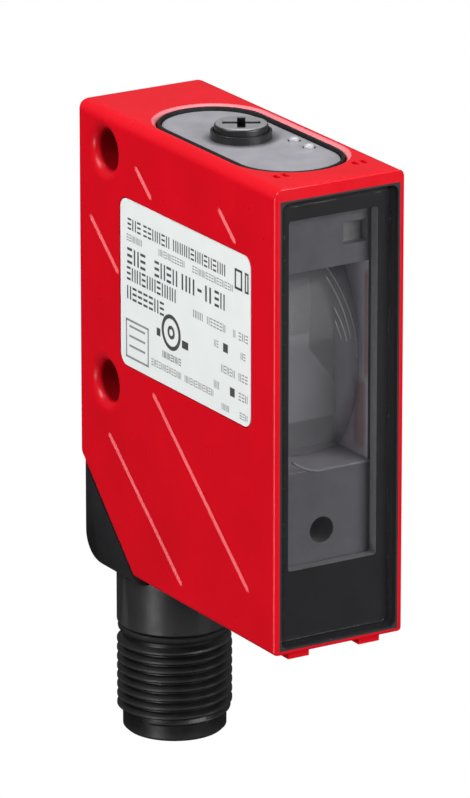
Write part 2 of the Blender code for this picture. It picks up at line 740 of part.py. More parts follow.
def build_cover_seal(rubber):
    """An oval ring on the ledge under the cover's rim, with a lip up around the rim."""
    bm = bmesh.new()
    low, high = RECESS_FLOOR + SNUG, COVER_UNDER - SNUG
    outer, inner = oval(RECESS_RADIUS - SNUG), oval(THROUGH_RADIUS + 0.05 * MM)
    lip = oval(COVER_RADIUS + SNUG)
    section = (
        (outer, low),
        (outer, SEAL_LIP_TOP),
        (lip, SEAL_LIP_TOP),
        (lip, high),
        (inner, high),
        (inner, low),
    )
    rings = [[bm.verts.new((x, y, level)) for x, y in outline] for outline, level in section]
    loft(bm, rings, closed=True)
    new_object("cover_seal", bm, rubber)


def build_cover_screw(steel, brass, screw_empty):
    head_low = SCREW_HEAD_TOP - SCREW_HEAD_HEIGHT
    chamfer = 0.25 * MM
    profile = [
        (0, SCREW_TIP),
        (SCREW_RADIUS - chamfer, SCREW_TIP),
        (SCREW_RADIUS, SCREW_TIP + chamfer),
        (SCREW_RADIUS, SCREW_THREAD_TOP),
        (SCREW_NECK_RADIUS, SCREW_THREAD_TOP),
        (SCREW_NECK_RADIUS, head_low),
        (SCREW_HEAD_RADIUS, head_low),
        (SCREW_HEAD_RADIUS, SCREW_HEAD_TOP - chamfer),
        (SCREW_HEAD_RADIUS - chamfer, SCREW_HEAD_TOP),
        (0, SCREW_HEAD_TOP),
    ]
    screw = turned("cover_screw", profile, (0, SCREW_Y, 0), segments=36, material=steel)
    slots = []
    reach, half = 1.9 * MM, 0.42 * MM
    z = (SCREW_HEAD_TOP - 0.9 * MM, SCREW_HEAD_TOP + MM)
    for name, degrees in (("cross_slot_1", CROSS_ANGLE), ("cross_slot_2", CROSS_ANGLE + 90)):
        along = Vector((math.cos(math.radians(degrees)), math.sin(math.radians(degrees))))
        across = Vector((-along.y, along.x)) * half
        middle = Vector((0, SCREW_Y))
        ends = (middle - along * reach, middle + along * reach)
        outline = [ends[0] - across, ends[1] - across, ends[1] + across, ends[0] + across]
        slots.append(prism(name, outline, "Z", z))
    cut(screw, *slots)
    hang_on(screw_empty, screw, *slots)

    bore = SCREW_RADIUS + GAP
    profile = [
        (bore, INSERT_Z[0]),
        (INSERT_RADIUS, INSERT_Z[0]),
        (INSERT_RADIUS, INSERT_Z[1]),
        (bore, INSERT_Z[1]),
    ]
    turned("threaded_insert", profile, (0, SCREW_Y, 0), segments=36, material=brass)


# ---------------------------------------------------------------- swivel plug


def elbow_block():
    """The block behind the 45 degree face, still reaching a little past it."""
    past = 3.0 * MM
    corner_at = (ELBOW_BACK - ELBOW_CORNER, ELBOW_UNDER + ELBOW_CORNER)
    outline = [(ELBOW_BACK, ELBOW_BACK - ELBOW_FACE + past)]
    outline += arc(corner_at, ELBOW_CORNER, 0, -90, 8)
    outline.append((ELBOW_FACE + ELBOW_UNDER - past, ELBOW_UNDER))
    return prism("elbow_block", outline, "X", (-ELBOW_HALF_WIDTH, ELBOW_HALF_WIDTH))


def build_elbow(material, swivel_empty):
    """The elbow: angled block, neck, threaded barrel with its socket, and hollow spigot."""
    inside_top, chamfer = 6.0 * MM, 0.3 * MM
    ring_groove_end = NECK_END - RING_GROOVE_WIDTH
    profile = [
        (0, inside_top),
        (BARREL_RADIUS, inside_top),
        (BARREL_RADIUS, NECK_END),
        (RING_GROOVE_RADIUS, NECK_END),
        (RING_GROOVE_RADIUS, ring_groove_end),
        (BARREL_RADIUS, ring_groove_end),
        (BARREL_RADIUS, THREAD_END),
        (PILOT_RADIUS, THREAD_END - chamfer),
        (PILOT_RADIUS, BARREL_END + chamfer),
        (PILOT_RADIUS - chamfer, BARREL_END),
        (SOCKET_RADIUS, BARREL_END),
        (SOCKET_RADIUS, SOCKET_SHOULDER),
        (WIRE_BORE_RADIUS, SOCKET_SHOULDER),
        (WIRE_BORE_RADIUS, WIRE_BORE_TOP),
        (0, WIRE_BORE_TOP),
    ]
    axis_at = (0, BARREL_Y, 0)
    elbow = turned("connector_elbow", list(reversed(profile)), axis_at, material=material)
    socket_front, half_key = BARREL_Y - SOCKET_RADIUS, 0.55 * MM
    key_y = (socket_front - 0.4 * MM, socket_front + 0.7 * MM)
    key_z = (BARREL_END + 1.2 * MM, CONTACT_FACE - MM)
    key = block("coding_key", (-half_key, half_key), key_y, key_z)
    add(elbow, key)
    piece = elbow_block()
    add(elbow, piece)
    far = 30 * MM
    beyond = [(ELBOW_FACE - far, -far), (ELBOW_FACE + far, far), (ELBOW_FACE - far, far)]
    above_face = prism("above_face", beyond, "X", (-far, far))
    cut(elbow, above_face)

    groove_start, groove_end, root = -CUT_WALL, -CUT_WALL - 1.1 * MM, 0.8 * MM
    profile = [
        (0, SPIGOT_END),
        (SPIGOT_RADIUS, SPIGOT_END),
        (SPIGOT_RADIUS, groove_end),
        (SPIGOT_GROOVE_RADIUS, groove_end),
        (SPIGOT_GROOVE_RADIUS, groove_start),
        (SPIGOT_RADIUS, groove_start),
        (SPIGOT_RADIUS, root),
        (0, root),
    ]
    spigot = turned("spigot", profile, swivel_point(0), SWIVEL_DIRECTION)
    add(elbow, spigot)

    bore_span, turn_at = (SPIGOT_END - MM, 3.4 * MM), (0, 33.6 * MM, 0.6 * MM)
    turn_radius, turn_half = 2.6 * MM, 2.9 * MM
    tools = [
        rod("wire_turn", turn_radius, turn_at, (-turn_half, turn_half), (1, 0, 0)),
        rod("spigot_bore", SPIGOT_BORE_RADIUS, swivel_point(0), bore_span, SWIVEL_DIRECTION),
    ]
    cut(elbow, *tools)
    hang_on(swivel_empty, elbow, above_face, piece, spigot, key, *tools)


def build_contacts(black, gold, swivel_empty):
    axis_at = (0, BARREL_Y, 0)
    carrier = rod(
        "contact_carrier",
        SOCKET_RADIUS - GAP,
        axis_at,
        (CONTACT_FACE, SOCKET_SHOULDER - GAP),
        material=black,
    )
    pieces, bores = [carrier], []
    bore_radius, bore_span = PIN_RADIUS + SNUG, (CONTACT_FACE - MM, SOCKET_SHOULDER + MM)
    profile = [
        (0, PIN_Z[0]),
        (PIN_RADIUS - 0.2 * MM, PIN_Z[0]),
        (PIN_RADIUS, PIN_Z[0] + 0.4 * MM),
        (PIN_RADIUS, PIN_Z[1]),
        (0, PIN_Z[1]),
    ]
    for number, (x, y) in enumerate(arc((0, BARREL_Y), PIN_CIRCLE_RADIUS, 45, 315, 3), 1):
        at = (x, y, 0)
        bores.append(rod(f"pin_bore_{number}", bore_radius, at, bore_span, segments=SMALL))
        pieces.append(turned(f"contact_pin_{number}", profile, at, segments=16, material=gold))
    cut(carrier, *bores)
    hang_on(swivel_empty, *bores, *pieces)


def build_swivel_rings(rubber, steel, swivel_empty):
    section = 0.4 * MM
    ring_radius = RING_GROOVE_RADIUS + section + 0.05 * MM
    ring_at = (0, BARREL_Y, NECK_END - RING_GROOVE_WIDTH / 2)
    oring = torus("connector_oring", ring_radius, section, ring_at, (0, 0, 1), rubber, 8)

    inner, outer = RETAINER_RADII
    low, high = -CUT_WALL - 0.85 * MM, -CUT_WALL - 0.25 * MM
    profile = [(inner, low), (outer, low), (outer, high), (inner, high)]
    at, direction = swivel_point(0), SWIVEL_DIRECTION
    retainer = turned("swivel_retainer", profile, at, direction, ROUND, steel)
    half_gap, gap_y, gap_z = 0.9 * MM, (24.0 * MM, 29.6 * MM), (2.0 * MM, 12.0 * MM)
    opening = block("retainer_opening", (-half_gap, half_gap), gap_y, gap_z)
    cut(retainer, opening)
    hang_on(swivel_empty, oring, retainer, opening)

    seal_radius, seal_section, seal_at = SPIGOT_RADIUS + 0.6 * MM, 0.45 * MM, swivel_point(-0.5 * MM)
    torus("swivel_seal", seal_radius, seal_section, seal_at, SWIVEL_DIRECTION, rubber)


def build_flex(material):
    """The ribbon from the main board, bent onto the swivel axis and through the spigot."""
    half_width, thickness = 1.5 * MM, 0.5 * MM
    start = Vector((BOARD_BACK + GAP, 15.0 * MM))
    lower = Vector((start.x, 12.6 * MM))
    bend, stop = swivel_point(-8.0 * MM), swivel_point(1.0 * MM)
    path = [start, lower, bend.yz, stop.yz]
    left, right = [], []
    for i, point in enumerate(path):
        before, after = path[max(i - 1, 0)], path[min(i + 1, len(path) - 1)]
        normal = Vector((before.y - after.y, after.x - before.x)).normalized()
        shift = Vector((thickness / 2, 0)) if i < 2 else Vector((0, 0))
        left.append(point + shift + normal * thickness / 2)
        right.append(point + shift - normal * thickness / 2)
    prism("connector_flex", left + list(reversed(right)), "X", (-half_width, half_width), material)


# ---------------------------------------------------------------- whole sensor


def main():
    clear_scene()
    datum = new_empty("datum", None, (-WIDTH / 2, -HOLE_Y, -HOLE_MIDDLE_Z))
    swivel = new_empty("swivel_axis", datum, swivel_point(0))
    swivel.rotation_mode = "QUATERNION"
    swivel.rotation_quaternion = SWIVEL_DIRECTION.to_track_quat("Z", "Y")
    lift = new_empty("cover_lift_axis", datum, (0, OVAL_Y, COVER_TOP))
    turn = new_empty("cover_screw_axis", datum, (0, SCREW_Y, SCREW_HEAD_TOP))
    trimmer = new_empty("trimmer_axis", datum, (0, TRIMMER_Y, CONTROL_BOARD_TOP))
    mode = new_empty("mode_switch_axis", datum, (0, MODE_SWITCH_Y, CONTROL_BOARD_TOP))
    bpy.context.view_layer.update()

    red = finish("red_enamel", (0.62, 0.01, 0.02), 0.4, 0.0)
    black = finish("black_plastic", (0.012, 0.012, 0.014), 0.45)
    grey = finish("grey_moulding", (0.10, 0.10, 0.11), 0.5)
    dark = finish("dark_package", (0.02, 0.02, 0.022), 0.4)
    glass = finish("dark_glass", (0.08, 0.08, 0.09), 0.05, alpha=0.35)
    clear = finish("clear_acrylic", (0.85, 0.87, 0.9), 0.05, alpha=0.4)
    film = finish("polariser_film", (0.12, 0.12, 0.16), 0.15, alpha=0.6)
    mirror = finish("splitter_coating", (0.7, 0.65, 0.75), 0.05, 0.6)
    smoke = finish("smoke_cover", (0.30, 0.30, 0.31), 0.3, alpha=0.7)
    white = finish("white_label", (0.83, 0.86, 0.85), 0.55)
    rubber = finish("black_rubber", (0.015, 0.015, 0.015), 0.8)
    steel = finish("dark_steel", (0.12, 0.12, 0.13), 0.35, 0.9)
    bright = finish("tinned_steel", (0.6, 0.6, 0.62), 0.3, 1.0)
    brass = finish("brass", (0.65, 0.47, 0.18), 0.3, 1.0)
    gold = finish("gold_plate", (0.9, 0.65, 0.25), 0.2, 1.0)
    board = finish("board_laminate", (0.02, 0.16, 0.07), 0.4)
    amber = finish("ribbon_film", (0.55, 0.28, 0.05), 0.35)
    ivory = finish("ivory_plastic", (0.8, 0.77, 0.68), 0.45)
    green = finish("green_lens", (0.1, 0.8, 0.25), 0.2)
    yellow = finish("yellow_lens", (0.95, 0.7, 0.05), 0.2)

    build_housing(red)
    build_label(white)
    build_window(glass, black, rubber)
    build_carrier(grey)
    build_light_path(clear, film, mirror, dark)
    build_main_board(board, bright, dark)
    build_control_board(board, dark, green, yellow)
    build_adjuster("trimmer_body", "trimmer_rotor", TRIMMER_Y, dark, ivory, trimmer)
    build_adjuster("mode_switch_body", "mode_switch_rotor", MODE_SWITCH_Y, dark, ivory, mode)
    build_cover(smoke, clear, rubber, lift)
    build_cover_seal(rubber)
    build_cover_screw(steel, brass, turn)
    build_elbow(black, swivel)
    build_contacts(black, gold, swivel)
    build_swivel_rings(rubber, bright, swivel)
    build_flex(amber)


main()
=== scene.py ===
"""Looks of a photoelectric sensor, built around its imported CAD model.

Shapes are made in millimetres in the sensor's own frame: X across the width from the
middle, Y backwards from the front window, Z up from the underside. hand_over() then
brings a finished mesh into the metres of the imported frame.
"""

import json
import math
import random

import bmesh
import bpy
from mathutils import Matrix, Vector

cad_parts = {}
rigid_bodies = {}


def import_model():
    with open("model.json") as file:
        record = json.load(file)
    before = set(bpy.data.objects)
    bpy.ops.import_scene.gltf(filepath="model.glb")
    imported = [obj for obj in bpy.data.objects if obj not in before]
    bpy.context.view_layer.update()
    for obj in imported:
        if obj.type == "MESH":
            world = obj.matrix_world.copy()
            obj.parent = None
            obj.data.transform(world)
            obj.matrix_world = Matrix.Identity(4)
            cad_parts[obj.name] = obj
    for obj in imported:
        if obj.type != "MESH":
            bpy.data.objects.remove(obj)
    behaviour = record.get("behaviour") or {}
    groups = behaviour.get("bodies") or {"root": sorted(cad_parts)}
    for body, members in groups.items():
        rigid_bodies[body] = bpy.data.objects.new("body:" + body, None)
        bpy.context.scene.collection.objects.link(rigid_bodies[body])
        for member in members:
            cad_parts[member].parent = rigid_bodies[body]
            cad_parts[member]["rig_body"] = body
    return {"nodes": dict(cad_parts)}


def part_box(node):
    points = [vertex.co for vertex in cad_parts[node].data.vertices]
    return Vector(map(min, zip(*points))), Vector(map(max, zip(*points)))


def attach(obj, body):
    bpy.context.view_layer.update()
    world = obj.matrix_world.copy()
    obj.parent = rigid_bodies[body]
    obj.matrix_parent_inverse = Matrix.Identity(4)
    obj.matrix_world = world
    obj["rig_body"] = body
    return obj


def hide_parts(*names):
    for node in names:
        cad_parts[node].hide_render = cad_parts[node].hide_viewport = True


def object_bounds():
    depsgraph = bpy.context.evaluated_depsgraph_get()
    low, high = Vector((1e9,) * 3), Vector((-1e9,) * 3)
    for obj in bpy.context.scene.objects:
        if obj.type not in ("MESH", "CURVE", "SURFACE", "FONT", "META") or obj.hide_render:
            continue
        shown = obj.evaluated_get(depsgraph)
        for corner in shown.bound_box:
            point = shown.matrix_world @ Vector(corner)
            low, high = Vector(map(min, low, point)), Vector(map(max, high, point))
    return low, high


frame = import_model()
cad_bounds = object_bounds()

MM = 0.001

# The sensor's own frame, found from the housing, whose lugs hang below its underside
LUG_DROP = 0.9
HOUSING_LOW, HOUSING_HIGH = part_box("housing")
ORIGIN = Vector(
    ((HOUSING_LOW.x + HOUSING_HIGH.x) / 2, HOUSING_LOW.y, HOUSING_LOW.z + LUG_DROP * MM)
)
TO_FRAME = Matrix.Translation(ORIGIN) @ Matrix.Scale(MM, 4)


def node_box(node):
    """Lowest and highest corner of a CAD node, in the sensor's millimetres."""
    low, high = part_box(node)
    return (low - ORIGIN) / MM, (high - ORIGIN) / MM


WIDTH = (HOUSING_HIGH.x - HOUSING_LOW.x) / MM
DEPTH = (HOUSING_HIGH.y - HOUSING_LOW.y) / MM
HEIGHT = (HOUSING_HIGH.z - HOUSING_LOW.z) / MM - LUG_DROP
SIDE = WIDTH / 2
CORNER_CUT = 10.5
GAP = 0.3
SNUG = 0.15

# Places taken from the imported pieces
LABEL_LOW, LABEL_HIGH = node_box("type_label")
WINDOW_LOW, WINDOW_HIGH = node_box("front_window")
MASK_LOW, MASK_HIGH = node_box("window_frame")
LENS_LOW, LENS_HIGH = node_box("main_lens")
CARRIER_LOW, CARRIER_HIGH = node_box("optics_carrier")
SEAL_LOW, SEAL_HIGH = node_box("cover_seal")
SCREW_LOW, SCREW_HIGH = node_box("cover_screw")
CONTACT_LOW, CONTACT_HIGH = node_box("contact_carrier")
ELBOW_LOW, ELBOW_HIGH = node_box("connector_elbow")
SCREW_Y = (SCREW_LOW.y + SCREW_HIGH.y) / 2
BARREL_Y = (CONTACT_LOW.y + CONTACT_HIGH.y) / 2
OVAL_Y = (SEAL_LOW.y + SEAL_HIGH.y) / 2
OVAL_STRAIGHT = 7.0  # half the distance between the cover's two arc centres

# Window, its mask and the hollows in the optics moulding
POCKET_DEPTH = 3.4
SIGHT_X, SIGHT_Z = (-5.1, 5.1), (8.1, 44.1)
CHAMBER_X, CHAMBER_Z = (-5, 5), (17.6, 38.2)
MONITOR_X, MONITOR_Z = (2.1, 4.8), (40.2, 42.5)

LABEL_CORNER = 1.2

# Mounting holes
HOLE_Y = DEPTH - 5.25
HOLE_ZS = (HEIGHT - 4.2, HEIGHT - 28.6)
HOLE_RADIUS = 2.1
HOLE_RIM_RADIUS = 3.25
HOLE_RIM_DEPTH = 1.0

# Cover and its recess
RECESS_RADIUS = 5.8
RECESS_FLOOR = 46.3
RECESS_RIM = 0.45
THROUGH_RADIUS = 5.1
COVER_RADIUS = 5.2
COVER_TOP = 47.5
COVER_UNDER = 46.9
COVER_PLUG_UNDER = 46.0
COLLAR_RADII = (2.82, 3.08)
COLLAR_TOP = 48.35

# Swivel and plug
CUT_WALL = 2.6
SWIVEL_DIRECTION = Vector((0, 1, -1)).normalized()
SPIGOT_RADIUS = 4.2
SPIGOT_GROOVE_RADIUS = 3.5
SPIGOT_BORE_RADIUS = 2.4
SPIGOT_END = -CUT_WALL - 2.0
ELBOW_FACE = DEPTH - CORNER_CUT + GAP * math.sqrt(2)
ELBOW_CORNER = 3.2
BARREL_RADIUS = 5.95
NECK_END = -7.2
RING_GROOVE_RADIUS = 5.0
RING_GROOVE_WIDTH = 1.0
THREAD_END = -17.2
THREAD_PITCH = 1.0
THREAD_DEPTH = 0.58
PILOT_RADIUS = 5.35
SOCKET_RADIUS = 4.4
SOCKET_SHOULDER = -5.0
WIRE_BORE_RADIUS = 3.0
WIRE_BORE_TOP = -1.2

ROUND = 96
SMALL = 32


# ---- shape helpers


def place_object(name, data):
    """A new object with this data, linked into the scene."""
    obj = bpy.data.objects.new(name, data)
    bpy.context.scene.collection.objects.link(obj)
    return obj


def new_object(name, bm):
    """A mesh object in the sensor's millimetres, with its faces turned outwards."""
    bmesh.ops.recalc_face_normals(bm, faces=bm.faces)
    mesh = bpy.data.meshes.new(name)
    bm.to_mesh(mesh)
    bm.free()
    return place_object(name, mesh)


def loft(bm, rings, closed=False):
    """Faces between rings of vertices, capped unless closed on itself. All rings are
    equally long, but the first and last may be a single vertex."""
    pairs = list(zip(rings, rings[1:]))
    if closed:
        pairs.append((rings[-1], rings[0]))
    for lower, upper in pairs:
        for i in range(len(rings[1])):
            around = ((lower, i), (lower, i + 1), (upper, i + 1), (upper, i))
            corners = dict.fromkeys(ring[k % len(ring)] for ring, k in around)
            bm.faces.new(list(corners))
    if not closed and len(rings[0]) > 1:
        bm.faces.new(list(reversed(rings[0])))
        bm.faces.new(rings[-1])


def lofted(name, rings, closed=False):
    """A mesh lofted through rings of points."""
    bm = bmesh.new()
    loft(bm, [[bm.verts.new(spot) for spot in ring] for ring in rings], closed)
    return new_object(name, bm)


def add_block(bm, x, y, z):
    """A box from three (low, high) pairs, added to a mesh under way."""
    made = bmesh.ops.create_cube(bm, size=1.0)["verts"]
    for vertex in made:
        vertex.co = Vector(
            (span[0] if side < 0 else span[1]) for side, span in zip(vertex.co, (x, y, z))
        )
    return made


def block(name, x, y, z):
    bm = bmesh.new()
    add_block(bm, x, y, z)
    return new_object(name, bm)


def prism(name, outline, axis, span):
    """An outline pushed along an axis. It lists (y, z) for X, (x, z) for Y, (x, y) for Z."""
    return stack(name, [(outline, level) for level in span], axis)


def stack(name, levels, axis, closed=False):
    """A loft through (outline, level) pairs, with the levels measured along an axis."""
    at = {
        "X": lambda a, b, level: (level, a, b),
        "Y": lambda a, b, level: (a, level, b),
        "Z": lambda a, b, level: (a, b, level),
    }[axis]
    rings = [[at(a, b, level) for a, b in outline] for outline, level in levels]
    return lofted(name, rings, closed)


def circle(radius, segments):
    """Points evenly round a circle, or only its middle when the radius is 0."""
    angles = [2 * math.pi * i / segments for i in range(segments if radius else 1)]
    return [(radius * math.cos(a), radius * math.sin(a)) for a in angles]


def turned(name, profile, centre, direction=(0, 0, 1), segments=ROUND):
    """A solid of revolution from (radius, height) points, closed through the axis, or
    round a ring's section when no point lies on the axis."""
    turn = Vector(direction).to_track_quat("Z", "Y").to_matrix().to_4x4()
    place = Matrix.Translation(centre) @ turn
    rings = []
    for radius, height in profile:
        rings.append([place @ Vector((*spot, height)) for spot in circle(radius, segments)])
    return lofted(name, rings, closed=profile[0][0] > 0)


def stepped(start, *steps):
    """The profile of a stepped rod. Each step is a radius and the height where it ends."""
    points = [(0, start)]
    for radius, end in steps:
        points += [(radius, start), (radius, end)]
        start = end
    return points + [(0, start)]


def rod(name, radius, centre, span, direction=(0, 0, 1), segments=ROUND):
    return turned(name, stepped(span[0], (radius, span[1])), centre, direction, segments)


def arc(centre, radius, start, stop, steps):
    """Points on an arc, angles in degrees, both ends included."""
    angles = [math.radians(start + (stop - start) * i / steps) for i in range(steps + 1)]
    return [(centre[0] + radius * math.cos(a), centre[1] + radius * math.sin(a)) for a in angles]


def rounded_rectangle(x, z, radius, steps=8):
    left, right = x[0] + radius, x[1] - radius
    low, high = z[0] + radius, z[1] - radius
    points = []
    for i, corner in enumerate(((right, low), (right, high), (left, high), (left, low))):
        points += arc(corner, radius, 90 * i - 90, 90 * i, steps)
    return points


def oval(radius, steps=40):
    """The cover's outline: two half circles joined by straight sides along Y."""
    rear = arc((0, OVAL_Y + OVAL_STRAIGHT), radius, 0, 180, steps)
    front = arc((0, OVAL_Y - OVAL_STRAIGHT), radius, 180, 360, steps)
    return rear + front


def swivel_point(along):
    """A point on the swivel axis, this far outside the 45 degree face."""
    step = along / math.sqrt(2)
    return Vector((0, DEPTH - CORNER_CUT / 2 + step, CORNER_CUT / 2 - step))


def sweep(name, points, radius, segments=10):
    """A thin round bead along a path."""
    rings = []
    for i, point in enumerate(points):
        ahead, behind = points[min(i + 1, len(points) - 1)], points[max(i - 1, 0)]
        turn = (ahead - behind).to_track_quat("Z", "Y").to_matrix()
        rings.append([point + turn @ Vector((*spot, 0)) for spot in circle(radius, segments)])
    return lofted(name, rings)


def worked(base, *steps):
    """Runs (operation, tools) steps on base as exact Booleans, and leaves only the result."""
    groups = []
    for number, (operation, tools) in enumerate(steps, 1):
        group = bpy.data.collections.new(f"{base.name}_tools_{number}")
        bpy.context.scene.collection.children.link(group)
        for tool in tools:
            bpy.context.scene.collection.objects.unlink(tool)
            group.objects.link(tool)
        modifier = base.modifiers.new(group.name, "BOOLEAN")
        modifier.operation = operation
        modifier.operand_type = "COLLECTION"
        modifier.collection = group
        modifier.solver = "EXACT"
        groups.append(group)
    graph = bpy.context.evaluated_depsgraph_get()
    mesh = bpy.data.meshes.new_from_object(base.evaluated_get(graph))
    name = base.name
    bpy.data.objects.remove(base)
    for group in groups:
        for tool in list(group.objects):
            bpy.data.objects.remove(tool)
        bpy.data.collections.remove(group)
    return place_object(name, mesh)


def joined(base, *others, first_slot=1):
    """Adds other meshes to base as they are, one material slot after another."""
    bm = bmesh.new()
    bm.from_mesh(base.data)
    for slot_number, other in enumerate(others, first_slot):
        first = len(bm.faces)
        bm.from_mesh(other.data)
        bm.faces.ensure_lookup_table()
        for face in bm.faces[first:]:
            face.material_index = slot_number
        bpy.data.objects.remove(other)
    bm.to_mesh(base.data)
    bm.free()
    return base


def add_bevel(obj, width, segments, sharper_than=0):
    """Rounds the edges sharper than this many degrees, or with 0 the weighted ones."""
    bevel = obj.modifiers.new("rounded_edges", "BEVEL")
    bevel.width = width
    bevel.segments = segments
    bevel.limit_method = "ANGLE" if sharper_than else "WEIGHT"
    bevel.angle_limit = math.radians(sharper_than)


def soften(obj, width, sharper_than=35):
    """Rounds the sharp edges and evens out the shading of flat faces."""
    if width:
        add_bevel(obj, width * MM, 2, sharper_than)
    normals = obj.modifiers.new("even_normals", "WEIGHTED_NORMAL")
    normals.keep_sharp = True
    normals.weight = 100


def hand_over(obj, node, *looks, slot=None, edge=0.06, split=40, sharper_than=35):
    """Puts a finished piece into the frame in place of its CAD node. The slot argument
    is not used."""
    obj.data.transform(TO_FRAME)
    for look in looks:
        obj.data.materials.append(LOOKS[look])
    obj.data.shade_smooth()
    if split:
        obj.data.set_sharp_from_angle(angle=math.radians(split))
    soften(obj, edge, sharper_than)
    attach(obj, frame["nodes"][node]["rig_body"])
    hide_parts(node)


# ---- material helpers


def feed(tree, socket, value):
    """Links another node's output to a socket, or sets the socket to a plain value."""
    if isinstance(value, bpy.types.NodeSocket):
        tree.links.new(value, socket)
    else:
        socket.default_value = value


def add_node(tree, kind, inputs, **settings):
    node = tree.nodes.new("ShaderNode" + kind)
    for key, value in settings.items():
        setattr(node, key, value)
    for key, value in inputs.items():
        feed(tree, node.inputs[key], value)
    return node


class Look:
    """A Principled material with the node moves that the finishes share."""

    def __init__(self, name, colour, roughness, metallic=0.0, specular=0.5, alpha=1.0):
        self.name = name
        self.material = bpy.data.materials.new(name)
        self.material.use_nodes = True
        self.tree = self.material.node_tree
        self.shader = self.tree.nodes["Principled BSDF"]
        self.colour = (*colour, 1.0)
        self.roughness = roughness
        self.set("Base Color", self.colour)
        self.set("Roughness", roughness)
        self.set("Metallic", metallic)
        self.set("Specular IOR Level", specular)
        self.set("Alpha", alpha)
        self.place = self.tree.nodes.new("ShaderNodeTexCoord").outputs["Object"]

    def set(self, name, value):
        feed(self.tree, self.shader.inputs[name], value)

    def add(self, kind, inputs, **settings):
        return add_node(self.tree, kind, inputs, **settings)

    def noise(self, size, detail=3.0, stretch=(1, 1, 1)):
        """Noise from 0 to 1 with features this many millimetres across."""
        scale = tuple(1 / (size * MM * part) for part in stretch)
        mapped = self.add("Mapping", {"Vector": self.place, "Scale": scale}).outputs[0]
        inputs = {"Vector": mapped, "Scale": 1.0, "Detail": detail}
        return self.add("TexNoise", inputs).outputs["Fac"]

    def ramp(self, value, low, high, bottom=0.0, top=1.0):
        ends = {"From Min": low, "From Max": high, "To Min": bottom, "To Max": top}
        return self.add("MapRange", {"Value": value, **ends}).outputs["Result"]

    def math(self, operation, first, second=0.0):
        return self.add("Math", {0: first, 1: second}, operation=operation).outputs[0]

    def times(self, first, second):
        return self.math("MULTIPLY", first, second)

    def minus(self, first, second):
        return self.math("SUBTRACT", first, second)

    def distance(self, first, second):
        """How far a point is from another, from two offsets at right angles."""
        squares = [self.math("POWER", offset, 2.0) for offset in (first, second)]
        return self.math("SQRT", self.math("ADD", *squares))

    def mix(self, factor, first, second):
        inputs = {0: factor, 6: first, 7: second}
        return self.add("Mix", inputs, data_type="RGBA").outputs[2]

    def axes(self):
        """X, Y and Z in the sensor's millimetres."""
        shift = tuple(-part / MM for part in ORIGIN)
        inputs = {"Vector": self.place, "Scale": (1 / MM,) * 3, "Location": shift}
        mapped = self.add("Mapping", inputs).outputs[0]
        return self.add("SeparateXYZ", {0: mapped}).outputs

    def band(self, value, low, high, soft=0.12):
        """1 between two values and 0 outside, with soft sides."""
        rise = self.ramp(value, low - soft, low + soft)
        fall = self.ramp(value, high - soft, high + soft, 1.0, 0.0)
        return self.times(rise, fall)

    def mottle(self, size, amount):
        """Varies the colour, darker and lighter by this share."""
        shares = (1 - amount, 1 + amount)
        dark, light = ([min(1, part * share) for part in self.colour[:3]] + [1] for share in shares)
        self.base = self.mix(self.ramp(self.noise(size), 0.3, 0.7), dark, light)
        self.set("Base Color", self.base)
        return self

    def tint(self, factor, colour):
        """Lays another colour over the one so far."""
        self.base = self.mix(factor, getattr(self, "base", self.colour), (*colour, 1))
        self.set("Base Color", self.base)
        return self

    def polish(self, size, spread, stretch=(1, 1, 1)):
        """Varies the roughness by this much each way."""
        low, high = self.roughness - spread, self.roughness + spread
        self.set("Roughness", self.ramp(self.noise(size, stretch=stretch), 0.3, 0.7, low, high))
        return self

    def grain(self, size, height, stretch=(1, 1, 1)):
        """A fine relief, height in millimetres."""
        inputs = {"Height": self.noise(size, 2.0, stretch), "Distance": height * MM}
        self.set("Normal", self.add("Bump", inputs).outputs[0])
        return self

    def painted_edge_highlight(self, colour, strength, low=0.52, high=0.6):
        """A lighter tone along the outer edges: a painted edge highlight."""
        raised = self.add("NewGeometry", {}).outputs["Pointiness"]
        return self.tint(self.ramp(raised, low, high, 0.0, strength), colour)


def red_enamel():
    """Red, with a painted highlight making the rim of the cover's recess pale, painted shade
    darkening the inside of the mounting holes, and black in the window's pocket."""
    look = Look("red_enamel", (0.66, 0.003, 0.012), 0.3, specular=0.24)
    look.mottle(7.0, 0.05).polish(3.0, 0.03).grain(1.1, 0.0012)
    x, y, z = look.axes()
    from_middle = look.math("ABSOLUTE", look.minus(y, OVAL_Y))
    past_end = look.math("MAXIMUM", look.minus(from_middle, OVAL_STRAIGHT), 0.0)
    oval_radius = look.distance(x, past_end)
    # Painted highlight: the chamfered rim of the cover's recess is tinted pale pink.
    rim = (RECESS_RADIUS + 0.02, RECESS_RADIUS + RECESS_RIM - 0.02)
    chamfer = look.band(oval_radius, *rim, 0.05)
    shown = look.times(chamfer, look.ramp(z, HEIGHT - 0.6, HEIGHT - 0.4))
    look.tint(look.times(shown, 0.75), (0.9, 0.3, 0.34))
    inner = look.ramp(look.math("ABSOLUTE", x), SIDE - 1.0, SIDE - 0.6, 1.0, 0.0)
    # Painted shade: the inside of each mounting hole is tinted dark red.
    for hole_z in HOLE_ZS:
        radius = look.distance(look.minus(y, HOLE_Y), look.minus(z, hole_z))
        hole_shade = look.ramp(radius, HOLE_RADIUS + 0.1, HOLE_RADIUS + 0.3, 1, 0)
        look.tint(look.times(look.times(inner, hole_shade), 0.75), (0.12, 0.001, 0.003))
    return look.tint(window_border(look, x, y, z), (0.034, 0.034, 0.036))


def window_border(look, x, y, z):
    """1 on the black painted walls of the window's pocket and on a hair of the rim."""
    hair = 0.22
    half = WINDOW_HIGH.x + GAP + hair
    across = look.band(x, -half, half, 0.04)
    upright = look.band(z, WINDOW_LOW.z - GAP - hair, WINDOW_HIGH.z + GAP + hair, 0.04)
    in_pocket = look.ramp(y, POCKET_DEPTH, POCKET_DEPTH + 0.1, 1, 0)
    return look.times(look.times(across, upright), in_pocket)


